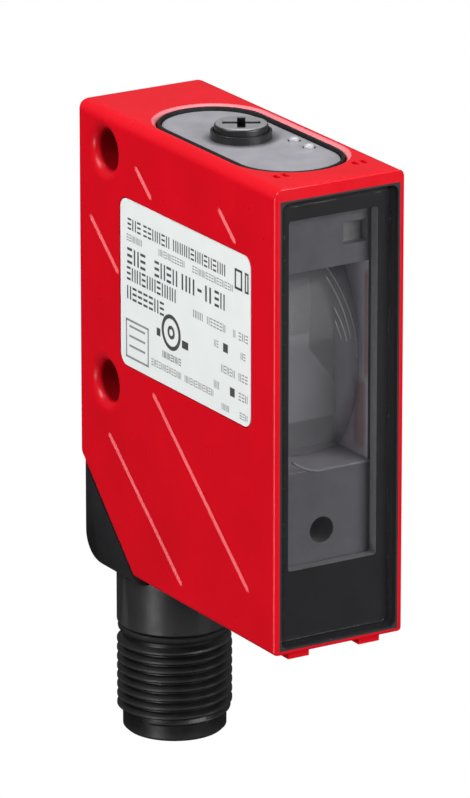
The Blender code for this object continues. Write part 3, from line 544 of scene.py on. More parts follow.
def black_plastic():
    """Black, with a painted sheen making the smooth neck above the plug's thread a little paler."""
    look = Look("black_plastic", (0.005, 0.005, 0.0057), 0.43, specular=0.44)
    look.mottle(2.5, 0.25).polish(1.2, 0.05).grain(0.16, 0.0018)
    _, _, z = look.axes()
    # Painted sheen: the neck is tinted paler.
    look.tint(look.band(z, NECK_END, -1.0, 0.05), (0.021, 0.0208, 0.0212))
    # Painted edge highlight along the outer edges.
    return look.painted_edge_highlight((0.06, 0.06, 0.065), 0.5)


def chamber_walls():
    """The inside of the light chamber, with faint warm streaks painted as reflections of the red
    housing, and a darker floor.
    """
    look = Look("chamber_walls", (0.82, 0.8, 0.86), 0.55, specular=0.25)
    look.mottle(2.0, 0.08).polish(1.5, 0.06).grain(0.14, 0.003)
    _, y, z = look.axes()
    # Painted reflection: warm streaks where the red housing mirrors in the walls.
    upper = look.times(look.band(y, 2.8, 3.5), look.band(z, 26.0, 37.0, 0.4))
    lower = look.times(look.band(y, 3.2, 5.4, 0.3), look.band(z, 18.5, 25.5, 0.4))
    red_reflection = look.math("MAXIMUM", upper, lower)
    look.tint(look.times(red_reflection, 0.6), (0.5, 0.22, 0.2))
    floor = look.ramp(z, CHAMBER_Z[0], CHAMBER_Z[0] + 0.3, 0.6, 0.0)
    return look.tint(floor, (0.2, 0.195, 0.21))


def polariser_film():
    """Dark film with lighter stepped patches painted on it: painted light, standing for the images
    the lens in front refracts onto it.
    """
    look = Look("polariser_film", (0.08, 0.078, 0.087), 0.3, specular=0.35)
    look.mottle(3.0, 0.06).polish(2.0, 0.05).grain(0.3, 0.001)
    x, _, z = look.axes()
    step_x, step_z = 1.8, 29.7
    left = look.ramp(x, step_x - 0.15, step_x + 0.15, 1, 0)
    upper = look.times(left, look.band(z, step_z, 35.4))
    slope = look.ramp(z, 23.6, 28.0, 5.3, step_x)
    beside = look.ramp(look.minus(x, slope), -0.12, 0.12, 1, 0)
    lower = look.times(beside, look.band(z, 20.6, step_z))
    # Painted light: the lighter patches stand for light refracted through the lens.
    look.tint(upper, (0.26, 0.257, 0.277))
    look.tint(lower, (0.48, 0.47, 0.51))
    below = look.ramp(z, 20.2, 20.8, 1, 0)
    return look.tint(below, (0.13, 0.127, 0.138))


def finish(name, colour, roughness, mottle, polish, grain, specular=0.3):
    """A plain finish, with a size and an amount for each way in which it varies."""
    look = Look(name, colour, roughness, specular=specular)
    return look.mottle(*mottle).polish(*polish).grain(*grain)


def see_through(name, colour, alpha, roughness, smudge=4.0):
    look = Look(name, colour, roughness, specular=0.5, alpha=alpha)
    return look.mottle(smudge, 0.12).polish(smudge, roughness * 0.4)


def metal(name, colour, roughness, brush=(1, 1, 0.12)):
    look = Look(name, colour, roughness, metallic=1.0)
    return look.mottle(0.9, 0.12).polish(0.25, 0.09, brush).grain(0.12, 0.0012, brush)


def ink(name, tone):
    look = Look(name, (tone, tone, tone * 1.05), 0.55, specular=0.2)
    return look.mottle(0.3, 0.2).grain(0.08, 0.0008)


def laminate():
    """Green board with lighter copper tracks under the lacquer and small tinned pads."""
    look = Look("board_laminate", (0.012, 0.12, 0.05), 0.35)
    look.mottle(2.0, 0.12)
    scale = 1 / (1.6 * MM)
    waves = look.add("TexWave", {"Vector": look.place, "Scale": scale, "Distortion": 3.0})
    look.tint(look.ramp(waves.outputs["Fac"], 0.62, 0.7, 0.0, 0.7), (0.03, 0.24, 0.09))
    cells = look.add("TexVoronoi", {"Vector": look.place, "Scale": 1 / (1.9 * MM)})
    look.tint(look.ramp(cells.outputs["Distance"], 0.16, 0.2, 0.9, 0.0), (0.6, 0.6, 0.58))
    return look.polish(0.6, 0.08).grain(0.2, 0.002)


def plastic(name, colour, roughness=0.42, size=0.8):
    return finish(name, colour, roughness, (size, 0.12), (size, 0.06), (0.1, 0.003), 0.4)


def blackened_steel():
    """Dark steel, with a painted highlight making the top of the head brighter."""
    look = Look("dark_steel", (0.03, 0.03, 0.032), 0.38, metallic=0.5)
    look.mottle(0.9, 0.15).polish(0.5, 0.08).grain(0.15, 0.0012)
    _, _, z = look.axes()
    # Painted highlight: the top of the head is tinted lighter.
    painted_top_highlight = look.ramp(z, SCREW_HIGH.z - 0.12, SCREW_HIGH.z - 0.02)
    return look.tint(painted_top_highlight, (0.36, 0.36, 0.37))


def smoke_plastic():
    """Translucent grey, darker where the collar and the screw's seat shade it."""
    look = Look("smoke_cover", (0.3, 0.295, 0.32), 0.34, specular=0.4)
    look.mottle(2.6, 0.1).polish(1.8, 0.06).grain(0.1, 0.002)
    x, y, z = look.axes()
    radius = look.distance(x, look.minus(y, SCREW_Y))
    near = look.ramp(radius, COLLAR_RADII[1] + 0.05, COLLAR_RADII[1] + 0.9, 0.85, 0.0)
    look.tint(near, (0.07, 0.07, 0.075))
    collar = look.ramp(z, COVER_TOP + 0.02, COVER_TOP + 0.1)
    return look.tint(collar, (0.014, 0.014, 0.015))


FINISHES = (
    red_enamel(),
    black_plastic(),
    finish("window_mask", (0.0125, 0.0125, 0.0135), 0.55, (2.5, 0.2), (1.2, 0.05), (0.16, 0.0004)),
    plastic("mask_wall", (0.32, 0.315, 0.335), 0.5),
    plastic("monitor_recess", (0.27, 0.265, 0.28), 0.5),
    finish("black_rubber", (0.009, 0.009, 0.009), 0.7, (0.8, 0.3), (0.6, 0.1), (0.08, 0.004)),
    finish("grey_moulding", (0.175, 0.17, 0.19), 0.5, (2.0, 0.08), (1.5, 0.06), (0.14, 0.003)),
    chamber_walls(),
    polariser_film(),
    see_through("dark_glass", (0.03, 0.03, 0.033), 0.2, 0.08, 6.0),
    see_through("clear_acrylic", (0.5, 0.495, 0.53), 0.25, 0.12),
    # Pale grey on the lens arcs and the chamber's lip: painted highlights.
    plastic("painted_glint_grey", (0.3, 0.3, 0.32), 0.5),
    smoke_plastic(),
    finish("white_label", (0.83, 0.86, 0.85), 0.5, (3.0, 0.015), (1.0, 0.05), (0.12, 0.0008), 0.25),
    ink("label_ink", 0.07),
    ink("label_ink_pale", 0.27),
    blackened_steel(),
    metal("tinned_steel", (0.6, 0.6, 0.62), 0.3),
    metal("brass", (0.65, 0.47, 0.18), 0.3),
    metal("gold_plate", (0.9, 0.65, 0.25), 0.22),
    laminate(),
    plastic("dark_package", (0.02, 0.02, 0.022)),
    plastic("ivory_plastic", (0.8, 0.77, 0.68)),
    plastic("ribbon_film", (0.55, 0.28, 0.05), 0.35, 0.5),
    metal("splitter_coating", (0.5, 0.46, 0.54), 0.15, (1, 1, 1)),
    plastic("green_lens", (0.1, 0.8, 0.25), 0.2),
    plastic("yellow_lens", (0.95, 0.7, 0.05), 0.2),
    plastic("light_pipe", (0.42, 0.43, 0.46), 0.12),
)
LOOKS = {look.name: look.material for look in FINISHES}


# ---- housing


def housing_body():
    """The outer shape. Long top edges are the roundest, front edges the sharpest."""
    top_round, edge_round, front_round = 1.25, 0.5, 0.22
    outline = [(0, 0), (DEPTH - CORNER_CUT, 0), (DEPTH, CORNER_CUT), (DEPTH, HEIGHT), (0, HEIGHT)]
    bm = bmesh.new()
    rings = [[bm.verts.new((x, y, z)) for y, z in outline] for x in (-SIDE, SIDE)]
    loft(bm, rings)
    weight = bm.edges.layers.float.new("bevel_weight_edge")
    for edge in bm.edges:
        ends = [vertex.co for vertex in edge.verts]
        along_width = abs(ends[0].x - ends[1].x) > 1
        if all(end.z > HEIGHT - 1 for end in ends) and not along_width:
            edge[weight] = 1.0
        elif all(end.y < 1 for end in ends) and along_width:
            edge[weight] = front_round / top_round
        else:
            edge[weight] = edge_round / top_round
    body = new_object("housing_shell", bm)
    add_bevel(body, top_round, 6)
    return body


def housing_cavity():
    """Hollow front space, a low pocket behind the swivel and one between the holes."""
    front, floor, back_wall, roof = 3.0, 1.2, 1.3, HEIGHT - 2.5
    inner_cut = DEPTH - CORNER_CUT - CUT_WALL * math.sqrt(2)
    back, column, column_face = DEPTH - back_wall, 5.2, 28.2
    upper, lower = HOLE_ZS
    outline = [(front, floor), (inner_cut + floor, floor), (back, back - inner_cut)]
    outline += [(back, lower - column), (column_face, lower - column)]
    outline += [(column_face, lower + column), (back, lower + column)]
    outline += [(back, upper - column), (column_face, upper - column)]
    outline += [(column_face, roof), (front, roof)]
    return prism("cavity", outline, "X", (-SIDE + 1.5, SIDE - 1.5))


def mounting_hole(number, z):
    """A through hole whose rims roll over smoothly into both side faces."""
    narrowing, beyond = HOLE_RIM_RADIUS - HOLE_RADIUS, SIDE + 1
    left = [
        (HOLE_RIM_RADIUS - narrowing * inwards, -SIDE + HOLE_RIM_DEPTH * (1 - outwards))
        for outwards, inwards in arc((0, 0), 1, 0, 90, 8)
    ]
    right = [(radius, -height) for radius, height in reversed(left)]
    ends = [(0, -beyond), (HOLE_RIM_RADIUS, -beyond)]
    profile = ends + left + right + [(HOLE_RIM_RADIUS, beyond), (0, beyond)]
    return turned(f"mounting_hole_{number}", profile, (0, HOLE_Y, z), (1, 0, 0))


def groove(name, side, start, length):
    """A V groove with pointed ends, running down towards the front at 40 degrees."""
    angle, half_width, depth, point = math.radians(40), 0.27, 0.25, 0.5
    along = Vector((-math.cos(angle), -math.sin(angle)))
    across = Vector((-along.y, along.x)) * half_width
    stop = start + along * length
    near, far = start + along * point, stop - along * point
    outline = [start, near - across, far - across, stop, far + across, near + across]
    surface = side * SIDE
    levels = ((surface + side, outline), (surface, outline), (surface - side * depth, (near, far)))
    bm = bmesh.new()
    outer, rim, root = [[bm.verts.new((x, *spot)) for spot in spots] for x, spots in levels]
    for i in range(6):
        j = (i + 1) % 6
        bm.faces.new((outer[i], outer[j], rim[j], rim[i]))
    bm.faces.new(outer)
    corners = rim + root
    for face in ((0, 1, 6), (1, 2, 7, 6), (2, 3, 7), (3, 4, 7), (4, 5, 6, 7), (5, 0, 6)):
        bm.faces.new([corners[i] for i in face])
    return new_object(name, bm)


def side_grooves():
    """The same grooves on both sides, each from its upper end and with its length."""
    grooves = [(26.8, 43.8, 4.5), (35.8, 36.5, 7.8), (10.8, 43.6, 4.7)]
    grooves += [(23.5, 21.0, 24.5), (32.3, 14.3, 19.2)]
    tools = []
    for side in (-1, 1):
        for number, (y, z, length) in enumerate(grooves):
            tools.append(groove(f"groove_{side}_{number}", side, Vector((y, z)), length))
    return tools


def top_slots():
    """Two short shallow slots at each front corner of the top face."""
    tools = []
    for side in (-1, 1):
        for number, middle in enumerate((5.0, 4.0)):
            x = (side * middle - 0.28, side * middle + 0.28)
            tools.append(block(f"slot_{side}_{number}", x, (3.3, 4.4), (HEIGHT - 0.35, HEIGHT + 1)))
    return tools


def label_recess():
    depth = 0.25
    y = (LABEL_LOW.y - SNUG, LABEL_HIGH.y + SNUG)
    z = (LABEL_LOW.z - SNUG, LABEL_HIGH.z + SNUG)
    outline = rounded_rectangle(y, z, LABEL_CORNER + SNUG)
    return prism("label_recess", outline, "X", (-SIDE - 1, -SIDE + depth))


def build_housing():
    body = housing_body()
    pocket_x = (WINDOW_LOW.x - GAP, WINDOW_HIGH.x + GAP)
    pocket_z = (WINDOW_LOW.z - GAP, WINDOW_HIGH.z + GAP)
    pocket_outline = rounded_rectangle(pocket_x, pocket_z, 0.8)
    pocket = prism("pocket", pocket_outline, "Y", (-1, POCKET_DEPTH))
    bridge = block("rib", (-6.5, 6.5), (SCREW_Y - 1.6, SCREW_Y + 1.6), (42.6, 45.3))
    boss = rod("boss", 3.6, (0, SCREW_Y, 0), (42.5, 45.4))
    lugs = [
        block(f"lug_{side}", (side * 4.1 - 1.2, side * 4.1 + 1.2), (0.9, 3.3), (-LUG_DROP, 0.4))
        for side in (-1, 1)
    ]
    wall, rim = oval(RECESS_RADIUS), oval(RECESS_RADIUS + RECESS_RIM)
    recess = [(wall, RECESS_FLOOR), (wall, HEIGHT - RECESS_RIM), (rim, HEIGHT), (rim, HEIGHT + 1)]
    cuts = [
        rod("bridge_bore", 2.6, (0, SCREW_Y, 0), (39.5, 45.5)),
        stack("cover_recess", recess, "Z"),
        prism("cover_opening", oval(THROUGH_RADIUS), "Z", (45.45, RECESS_FLOOR + 1)),
        rod("swivel_bore", SPIGOT_RADIUS + GAP, swivel_point(0), (-4.6, 1), SWIVEL_DIRECTION),
        rod("seal_seat", 5.7, swivel_point(0), (-1.1, 1), SWIVEL_DIRECTION),
        label_recess(),
    ]
    cuts += [mounting_hole(number, z) for number, z in enumerate(HOLE_ZS, 1)]
    cuts += side_grooves() + top_slots()
    shell = worked(
        body,
        ("DIFFERENCE", [pocket, housing_cavity()]),
        ("UNION", [bridge, boss, *lugs]),
        ("DIFFERENCE", cuts),
    )
    hand_over(shell, "housing", "red_enamel", edge=0.07, split=32, sharper_than=88)


# ---- type label


class Print:
    """Marks on the label. Lines of print are rows of plain strokes, with no lettering."""

    def __init__(self, seed):
        self.bm = bmesh.new()
        self.random = random.Random(seed)
        self.x = (LABEL_LOW.x - 0.01, LABEL_LOW.x + 0.03)

    def bar(self, y, z):
        add_block(self.bm, self.x, y, z)

    def line(self, low, high, *words):
        """One line of print. Each word is a (start, stop) pair along Y."""
        height = high - low
        for start, stop in words:
            count = max(1, round((stop - start) / (height * 0.72)))
            pitch = (stop - start) / count
            for i in range(count):
                left = start + i * pitch
                self.mark(left, left + pitch * 0.74, low, high)

    def mark(self, left, right, low, high):
        stroke = (high - low) * 0.17
        if self.random.random() < 0.5:
            wide = (right - left) * 0.28
            self.bar((left, left + wide), (low, high))
            self.bar((right - wide, right), (low, high))
            return
        for level in (low, (low + high - stroke) / 2, high - stroke):
            self.bar((left, right), (level, level + stroke))

    def frame(self, y, z, line):
        """A hollow rectangle."""
        self.bar(y, (z[0], z[0] + line))
        self.bar(y, (z[1] - line, z[1]))
        self.bar((y[0], y[0] + line), z)
        self.bar((y[1] - line, y[1]), z)

    def ring(self, y, z, radius, line, segments=48):
        corners = ((radius, 0), (radius, 1), (radius - line, 1), (radius - line, 0))
        rings = []
        for size, end in corners:
            spots = [(self.x[end], y + aside, z + up) for aside, up in circle(size, segments)]
            rings.append([self.bm.verts.new(spot) for spot in spots])
        loft(self.bm, rings, closed=True)


def dark_print():
    marks = Print(7)
    marks.line(36.8, 38.0, (9.3, 19.5), (20.0, 25.3), (25.6, 28.4))
    marks.line(33.25, 34.9, (9.4, 11.6), (12.0, 13.5), (15.2, 18.0), (18.5, 23.2), (24.7, 28.6))
    marks.bar((13.8, 14.6), (33.9, 34.2))
    marks.line(31.5, 32.9, (18.8, 28.6))
    marks.line(29.5, 30.9, (21.1, 28.6))
    marks.frame((4.9, 5.6), (36.1, 38.2), 0.22)
    marks.frame((6.1, 7.5), (36.1, 38.2), 0.25)
    marks.ring(19.7, 28.2, 1.85, 0.42)
    marks.ring(19.7, 28.2, 0.7, 0.35, 32)
    marks.bar((16.4, 17.6), (27.2, 28.0))
    marks.bar((21.8, 22.5), (27.2, 28.0))
    marks.line(25.2, 25.9, (17.8, 21.5))
    for y, z in ((8.8, 29.0), (7.5, 24.8)):
        marks.bar((y, y + 0.9), (z, z + 0.9))
    return new_object("dark_print", marks.bm)


def pale_print():
    marks = Print(11)
    marks.line(35.6, 36.3, (7.9, 15.7), (17.1, 22.2), (25.4, 28.5))
    marks.line(31.0, 31.8, (5.0, 6.9), (7.4, 7.9), (9.3, 12.9), (13.6, 15.6))
    marks.line(29.1, 29.8, (5.5, 6.5), (10.6, 11.5))
    marks.line(26.8, 27.6, (5.1, 6.9), (7.5, 10.2))
    marks.line(24.8, 25.6, (5.1, 6.9), (10.5, 11.6))
    marks.line(22.95, 23.6, (5.1, 6.7), (8.6, 10.1))
    marks.line(23.8, 24.5, (11.6, 17.2), (17.8, 23.7))
    diagram_y, diagram_z = (24.1, 28.6), (23.3, 27.4)
    marks.frame(diagram_y, diagram_z, 0.22)
    for share in (0.3, 0.55, 0.8):
        level = diagram_z[0] + share * (diagram_z[1] - diagram_z[0])
        marks.bar((diagram_y[0] + 0.7, diagram_y[1] - 0.7), (level, level + 0.22))
    return new_object("pale_print", marks.bm)


def build_label():
    y, z = (LABEL_LOW.y, LABEL_HIGH.y), (LABEL_LOW.z, LABEL_HIGH.z)
    outline = rounded_rectangle(y, z, LABEL_CORNER)
    sheet = prism("label_sheet", outline, "X", (LABEL_LOW.x, LABEL_HIGH.x))
    label = joined(sheet, dark_print(), pale_print())
    hand_over(label, "type_label", "white_label", "label_ink", "label_ink_pale", edge=0)


# ---- front optics


def within(point, x, z, margin=0.05):
    """Whether a point lies between two X and two Z values, or hardly outside them."""
    in_x = x[0] - margin < point.x < x[1] + margin
    return in_x and z[0] - margin < point.z < z[1] + margin


def build_window():
    """The dark pane, and behind it the black mask with grey walls round its opening."""
    outline = rounded_rectangle((WINDOW_LOW.x, WINDOW_HIGH.x), (WINDOW_LOW.z, WINDOW_HIGH.z), 0.6)
    pane = prism("window_pane", outline, "Y", (WINDOW_LOW.y, WINDOW_HIGH.y))
    hand_over(pane, "front_window", "dark_glass", edge=0.14)

    sight = rounded_rectangle(SIGHT_X, SIGHT_Z, 0.3)
    near, far = MASK_LOW.y, MASK_HIGH.y
    levels = [(outline, near), (outline, far), (sight, far), (sight, near)]
    mask = stack("window_mask_ring", levels, "Y", closed=True)
    for face in mask.data.polygons:
        upright = abs(face.normal.y) < 0.1
        face.material_index = int(upright and within(face.center, SIGHT_X, SIGHT_Z))
    hand_over(mask, "window_frame", "window_mask", "mask_wall", slot="black_plastic", edge=0)


def optics_bores():
    """Everything cut out of the optics moulding."""
    before, beyond = CARRIER_LOW.y - 1, CARRIER_HIGH.y + 1
    tools = [
        block("chamber", CHAMBER_X, (before, beyond), CHAMBER_Z),
        block("monitor", MONITOR_X, (before, 3.9), MONITOR_Z),
        rod("aperture", 1.35, (-0.3, 0, 11.2), (before, 6.5), (0, 1, 0), SMALL),
        rod("emitter_bore", 2.0, (0, 15.6, 0), (11.9, 18.6), segments=SMALL),
    ]
    for z in (8.0, 39.4):
        tools.append(rod(f"screw_bore_{z}", 0.9, (0, 0, z), (17, beyond), (0, 1, 0), SMALL))
    return tools


def ledge_bead():
    """The curved lip along the chamber's lower front edge, pale as a painted highlight."""
    face = CARRIER_LOW.y + 0.02
    ends, lowest = (-3.7, 5.3), 17.42
    points = []
    for i in range(17):
        x = ends[0] + (ends[1] - ends[0]) * i / 16
        rise = 0.12 * max(0, -0.3 - x) ** 2 + 0.01 * max(0, x)
        points.append(Vector((x, face, lowest + rise)))
    return sweep("ledge_bead", points, 0.15)


def build_optics():
    """The grey moulding, with its own looks inside the chamber and the small recess."""
    half = 5.7
    plate = block("optics_moulding", (-half, half), (CARRIER_LOW.y, 4.4), (1.6, 45.2))
    body = block("body", (-half, half), (4.0, CARRIER_HIGH.y), (3.0, 40.6))
    moulding = worked(plate, ("UNION", [body]), ("DIFFERENCE", optics_bores()))
    for face in moulding.data.polygons:
        if face.center.y <= CARRIER_LOW.y + 0.1:
            continue
        if within(face.center, CHAMBER_X, CHAMBER_Z):
            face.material_index = 1
        elif within(face.center, MONITOR_X, MONITOR_Z):
            face.material_index = 3
    # The pale lip stands for a bright edge: painted highlight.
    moulding = joined(moulding, ledge_bead(), first_slot=2)
    looks = ("grey_moulding", "chamber_walls", "painted_glint_grey", "monitor_recess")
    hand_over(moulding, "optics_carrier", *looks, edge=0.1)


def lens_surface(x, z):
    """Y of the lens's front, a sphere round its middle."""
    sphere, middle = 16.0, (LENS_LOW.z + LENS_HIGH.z) / 2
    return LENS_LOW.y + sphere - math.sqrt(sphere**2 - x**2 - (z - middle) ** 2)


def lens_ridge(number, centre, radius, start, stop):
    """A fine raised arc on the lens's front, centred at an (x, z) point, pale to stand for a glint:
    a painted highlight.
    """
    points = [
        Vector((x, lens_surface(x, z) + 0.02, z))
        for x, z in arc(centre, radius, start, stop, 32)
    ]
    return sweep(f"lens_ridge_{number}", points, 0.11)


def build_lens():
    columns, rows = 24, 48
    half, back = LENS_HIGH.x, LENS_HIGH.y
    bm = bmesh.new()
    xs = [half * (2 * i / columns - 1) for i in range(columns + 1)]
    zs = [LENS_LOW.z + (LENS_HIGH.z - LENS_LOW.z) * j / rows for j in range(rows + 1)]
    front = [[bm.verts.new((x, lens_surface(x, z), z)) for x in xs] for z in zs]
    for low, high in zip(front, front[1:]):
        for i in range(columns):
            bm.faces.new((low[i], low[i + 1], high[i + 1], high[i]))
    rim = front[0] + [row[-1] for row in front[1:]]
    rim += list(reversed(front[-1][:-1])) + [row[0] for row in reversed(front[1:-1])]
    flat = [bm.verts.new((vertex.co.x, back, vertex.co.z)) for vertex in rim]
    for i in range(len(rim)):
        j = (i + 1) % len(rim)
        bm.faces.new((rim[i], rim[j], flat[j], flat[i]))
    bm.faces.new(flat)
    lens = new_object("collecting_lens", bm)
    # Pale arcs standing for glints on the lens: painted highlights.
    ridges = joined(
        lens_ridge(1, (-16.7, 28.0), 21.0, 0, 26),
        lens_ridge(2, (-11.6, 27.4), 14.8, 10, 24),
        lens_ridge(3, (-16.7, 28.0), 20.3, 6, 24),
        lens_ridge(4, (-11.6, 27.4), 14.2, 12, 20),
    )
    lens = joined(lens, ridges)
    hand_over(lens, "main_lens", "clear_acrylic", "painted_glint_grey", edge=0)


# ---- control cover


def build_cover():
    plate = prism("cover_plate", oval(COVER_RADIUS), "Z", (COVER_UNDER, COVER_TOP))
    at, below = (0, SCREW_Y, 0), COVER_PLUG_UNDER - 1
    adds = [
        prism("plug", oval(THROUGH_RADIUS - GAP), "Z", (COVER_PLUG_UNDER, COVER_UNDER + 0.1)),
        rod("cover_boss", 2.9, at, (COVER_PLUG_UNDER - 0.2, COVER_PLUG_UNDER + 0.5)),
        rod("collar", COLLAR_RADII[1], at, (COVER_UNDER, COLLAR_TOP)),
    ]
    cuts = [
        rod("head_seat", COLLAR_RADII[0], at, (COVER_TOP, COLLAR_TOP + 1)),
        rod("ring_seat", 2.1, at, (46.2, COVER_TOP + 0.1)),
        rod("screw_hole", 1.4, at, (below, COVER_TOP + 0.1), segments=SMALL),
    ]
    for name in ("light_pipe_green", "light_pipe_yellow"):
        low, high = node_box(name)
        middle, radius = (low + high) / 2, (high.x - low.x) / 2
        spot = (middle.x, middle.y, 0)
        cuts.append(rod(f"{name}_bore", radius + SNUG, spot, (below, HEIGHT), segments=SMALL))
        build_light_pipe(name, spot, radius, low.z, high.z)
    cover = worked(plate, ("UNION", adds), ("DIFFERENCE", cuts))
    hand_over(cover, "control_cover", "smoke_cover", edge=0.08)


def build_light_pipe(node, spot, radius, low, high):
    """A round pipe with a domed tip."""
    dome = 0.3
    tip = [(x, high - dome + rise * dome / radius) for x, rise in arc((0, 0), radius, 0, 75, 5)]
    profile = [(0, low), (radius, low), *tip, (0, high)]
    pipe = turned(f"{node}_tip", profile, spot, segments=SMALL)
    hand_over(pipe, node, "light_pipe", slot="clear_acrylic", edge=0)


def build_gasket():
    """An oval rubber ring on its ledge, with a rounded lip up around the cover."""
    low, top = SEAL_LOW.z, SEAL_HIGH.z
    high = COVER_UNDER - SNUG
    outer, lip, inner = RECESS_RADIUS - SNUG, COVER_RADIUS + SNUG, THROUGH_RADIUS + 0.05
    crown = arc(((outer + lip) / 2, 0), (outer - lip) / 2, 0, 180, 6)
    section = [(outer, low)]
    section += [(radius, top - (outer - lip) / 2 + rise) for radius, rise in crown]
    section += [(lip, high), (inner, high), (inner, low)]
    levels = [(oval(radius), level) for radius, level in section]
    gasket = stack("cover_gasket", levels, "Z", closed=True)
    hand_over(gasket, "cover_seal", "black_rubber", edge=0.04)


def build_cover_screw():
    """A cheese-head screw with a cross recess and a real thread."""
    top, tip, thread_top = SCREW_HIGH.z, SCREW_LOW.z, 45.4
    head, head_low, round_off = 2.7, SCREW_HIGH.z - 1.45, 0.3
    rows = [(1.1, thread_top), (1.1, head_low), (head, head_low), (head, top - round_off)]
    rows += arc((head - round_off, top - round_off), round_off, 15, 90, 5)
    shank = threaded(1.5, 0.28, 0.5, tip + 0.15, thread_top, 40)
    bm = grid_solid((0, SCREW_Y), [(1.15, tip)], shank, rows, 40)
    screw = new_object("screw_body", bm)
    slots = []
    reach, half, depth = 1.9, 0.42, 0.9
    for number, degrees in enumerate((-31.0, 59.0)):
        along = Vector((math.cos(math.radians(degrees)), math.sin(math.radians(degrees))))
        across = Vector((-along.y, along.x)) * half
        middle = Vector((0, SCREW_Y))
        near, far = middle - along * reach, middle + along * reach
        outline = [near - across, far - across, far + across, near + across]
        slots.append(prism(f"recess_{number}", outline, "Z", (top - depth, top + 1)))
    screw = worked(screw, ("DIFFERENCE", slots))
    hand_over(screw, "cover_screw", "dark_steel", edge=0.04)


# ---- threads


THREAD_PROFILE = ((0.0, 0.0), (0.12, 0.0), (0.40, 0.9), (0.45, 1.0), (0.63, 1.0), (0.68, 0.9))


def threaded(crest, depth, pitch, low, high, segments):
    """Rows of (radius, height) per segment that wind up a cylinder as a screw thread.
    Both ends run out to the root, so the first and last rows are plain circles."""
    turns = math.ceil((high - low) / pitch) + 1
    plain, runout = 0.2 * pitch, 0.5 * pitch
    rows = []
    for turn in range(-1, turns):
        for phase, lift in THREAD_PROFILE:
            row = []
            for i in range(segments + 1):
                height = low + pitch * (turn + phase + i / segments)
                level = min(max(height, low), high)
                from_end = min(level - low, high - level) - plain
                fade = min(1, max(0, from_end / runout))
                row.append((crest - depth + depth * lift * fade, level))
            rows.append(row)
    return rows


def grid_solid(centre, below, thread, above, segments):
    """A closed turned solid with plain rows, then thread rows, then plain rows. Thread
    rows carry one point more than there are segments, because they climb one pitch."""
    bm = bmesh.new()
    made = {}
    unit = circle(1, segments)

    def vertex(radius, height, i):
        aside, along = unit[i % segments]
        spot = (centre[0] + radius * aside, centre[1] + radius * along, height)
        key = tuple(round(part, 4) for part in spot)
        if key not in made:
            made[key] = bm.verts.new(spot)
        return made[key]

    plain_below = [[(radius, height)] * (segments + 1) for radius, height in below]
    plain_above = [[(radius, height)] * (segments + 1) for radius, height in above]
    rows = plain_below + thread + plain_above
    known = set()
    for lower, upper in zip(rows, rows[1:]):
        for i in range(segments):
            around = ((lower, i), (lower, i + 1), (upper, i + 1), (upper, i))
            corners = list(dict.fromkeys(vertex(*row[k], k) for row, k in around))
            key = frozenset(corners)
            if len(corners) > 2 and key not in known:
                known.add(key)
                bm.faces.new(corners)
    for row in (rows[0], rows[-1]):
        ring = list(dict.fromkeys(vertex(*row[i], i) for i in range(segments)))
        if len(ring) > 2:
            bm.faces.new(ring)
    return bm


# ---- swivel plug


def elbow_block():
    """The block behind the 45 degree face, reaching a little past it, with rolled edges."""
    past, roll = 3.0, 0.9
    back, under, half = ELBOW_HIGH.y, -1.0, ELBOW_HIGH.x
    corner = (back - ELBOW_CORNER, under + ELBOW_CORNER)
    outline = [(back, back - ELBOW_FACE + past)]
    outline += arc(corner, ELBOW_CORNER, 0, -90, 16)
    outline.append((ELBOW_FACE + under - past, under))
    block_object = prism("elbow_block", outline, "X", (-half, half))
    add_bevel(block_object, roll, 5, sharper_than=40)
    return worked(block_object)


def build_elbow():
    """Angled block, neck, threaded barrel with its socket, and the hollow spigot."""
    chamfer, barrel_end = 0.3, ELBOW_LOW.z
    groove_end = NECK_END - RING_GROOVE_WIDTH
    below = [(PILOT_RADIUS - chamfer, barrel_end), (PILOT_RADIUS, barrel_end + chamfer)]
    below.append((PILOT_RADIUS, THREAD_END - chamfer))
    above = [(RING_GROOVE_RADIUS, groove_end), (RING_GROOVE_RADIUS, NECK_END)]
    above += [(BARREL_RADIUS - 0.2, NECK_END), (BARREL_RADIUS, NECK_END + 0.2)]
    above.append((BARREL_RADIUS, 6.0))
    thread = threaded(BARREL_RADIUS, THREAD_DEPTH, THREAD_PITCH, THREAD_END, groove_end, ROUND)
    bm = grid_solid((0, BARREL_Y), below, thread, above, ROUND)
    barrel = new_object("plug_elbow", bm)
    far = 30
    beyond = [(ELBOW_FACE - far, -far), (ELBOW_FACE + far, far), (ELBOW_FACE - far, far)]
    spigot = stepped(
        SPIGOT_END,
        (SPIGOT_RADIUS, -CUT_WALL - 1.1),
        (SPIGOT_GROOVE_RADIUS, -CUT_WALL),
        (SPIGOT_RADIUS, 0.8),
    )
    bores = ((SOCKET_RADIUS, SOCKET_SHOULDER), (WIRE_BORE_RADIUS, WIRE_BORE_TOP))
    socket = stepped(barrel_end - 1, *bores)
    key_y = BARREL_Y - SOCKET_RADIUS
    key = block("coding_key", (-0.55, 0.55), (key_y - 0.4, key_y + 0.7), (barrel_end + 1.2, -11.9))
    elbow = worked(
        barrel,
        ("DIFFERENCE", [turned("socket", socket, (0, BARREL_Y, 0))]),
        ("UNION", [elbow_block(), key]),
        ("DIFFERENCE", [prism("above_face", beyond, "X", (-far, far))]),
        ("UNION", [turned("spigot", spigot, swivel_point(0), SWIVEL_DIRECTION)]),
        ("DIFFERENCE", elbow_bores()),
    )
    hand_over(elbow, "connector_elbow", "black_plastic", edge=0, split=38)


def elbow_bores():
    """The way for the wires, round the corner from the spigot to the socket."""
    slanted, upright = (SPIGOT_END - 1, 3.4), (SOCKET_SHOULDER - 1, WIRE_BORE_TOP)
    return [
        rod("wire_turn", 2.6, (0, 33.6, 0.6), (-2.9, 2.9), (1, 0, 0)),
        rod("spigot_bore", SPIGOT_BORE_RADIUS, swivel_point(0), slanted, SWIVEL_DIRECTION),
        rod("wire_bore", WIRE_BORE_RADIUS - 0.2, (0, BARREL_Y, 0), upright),
    ]


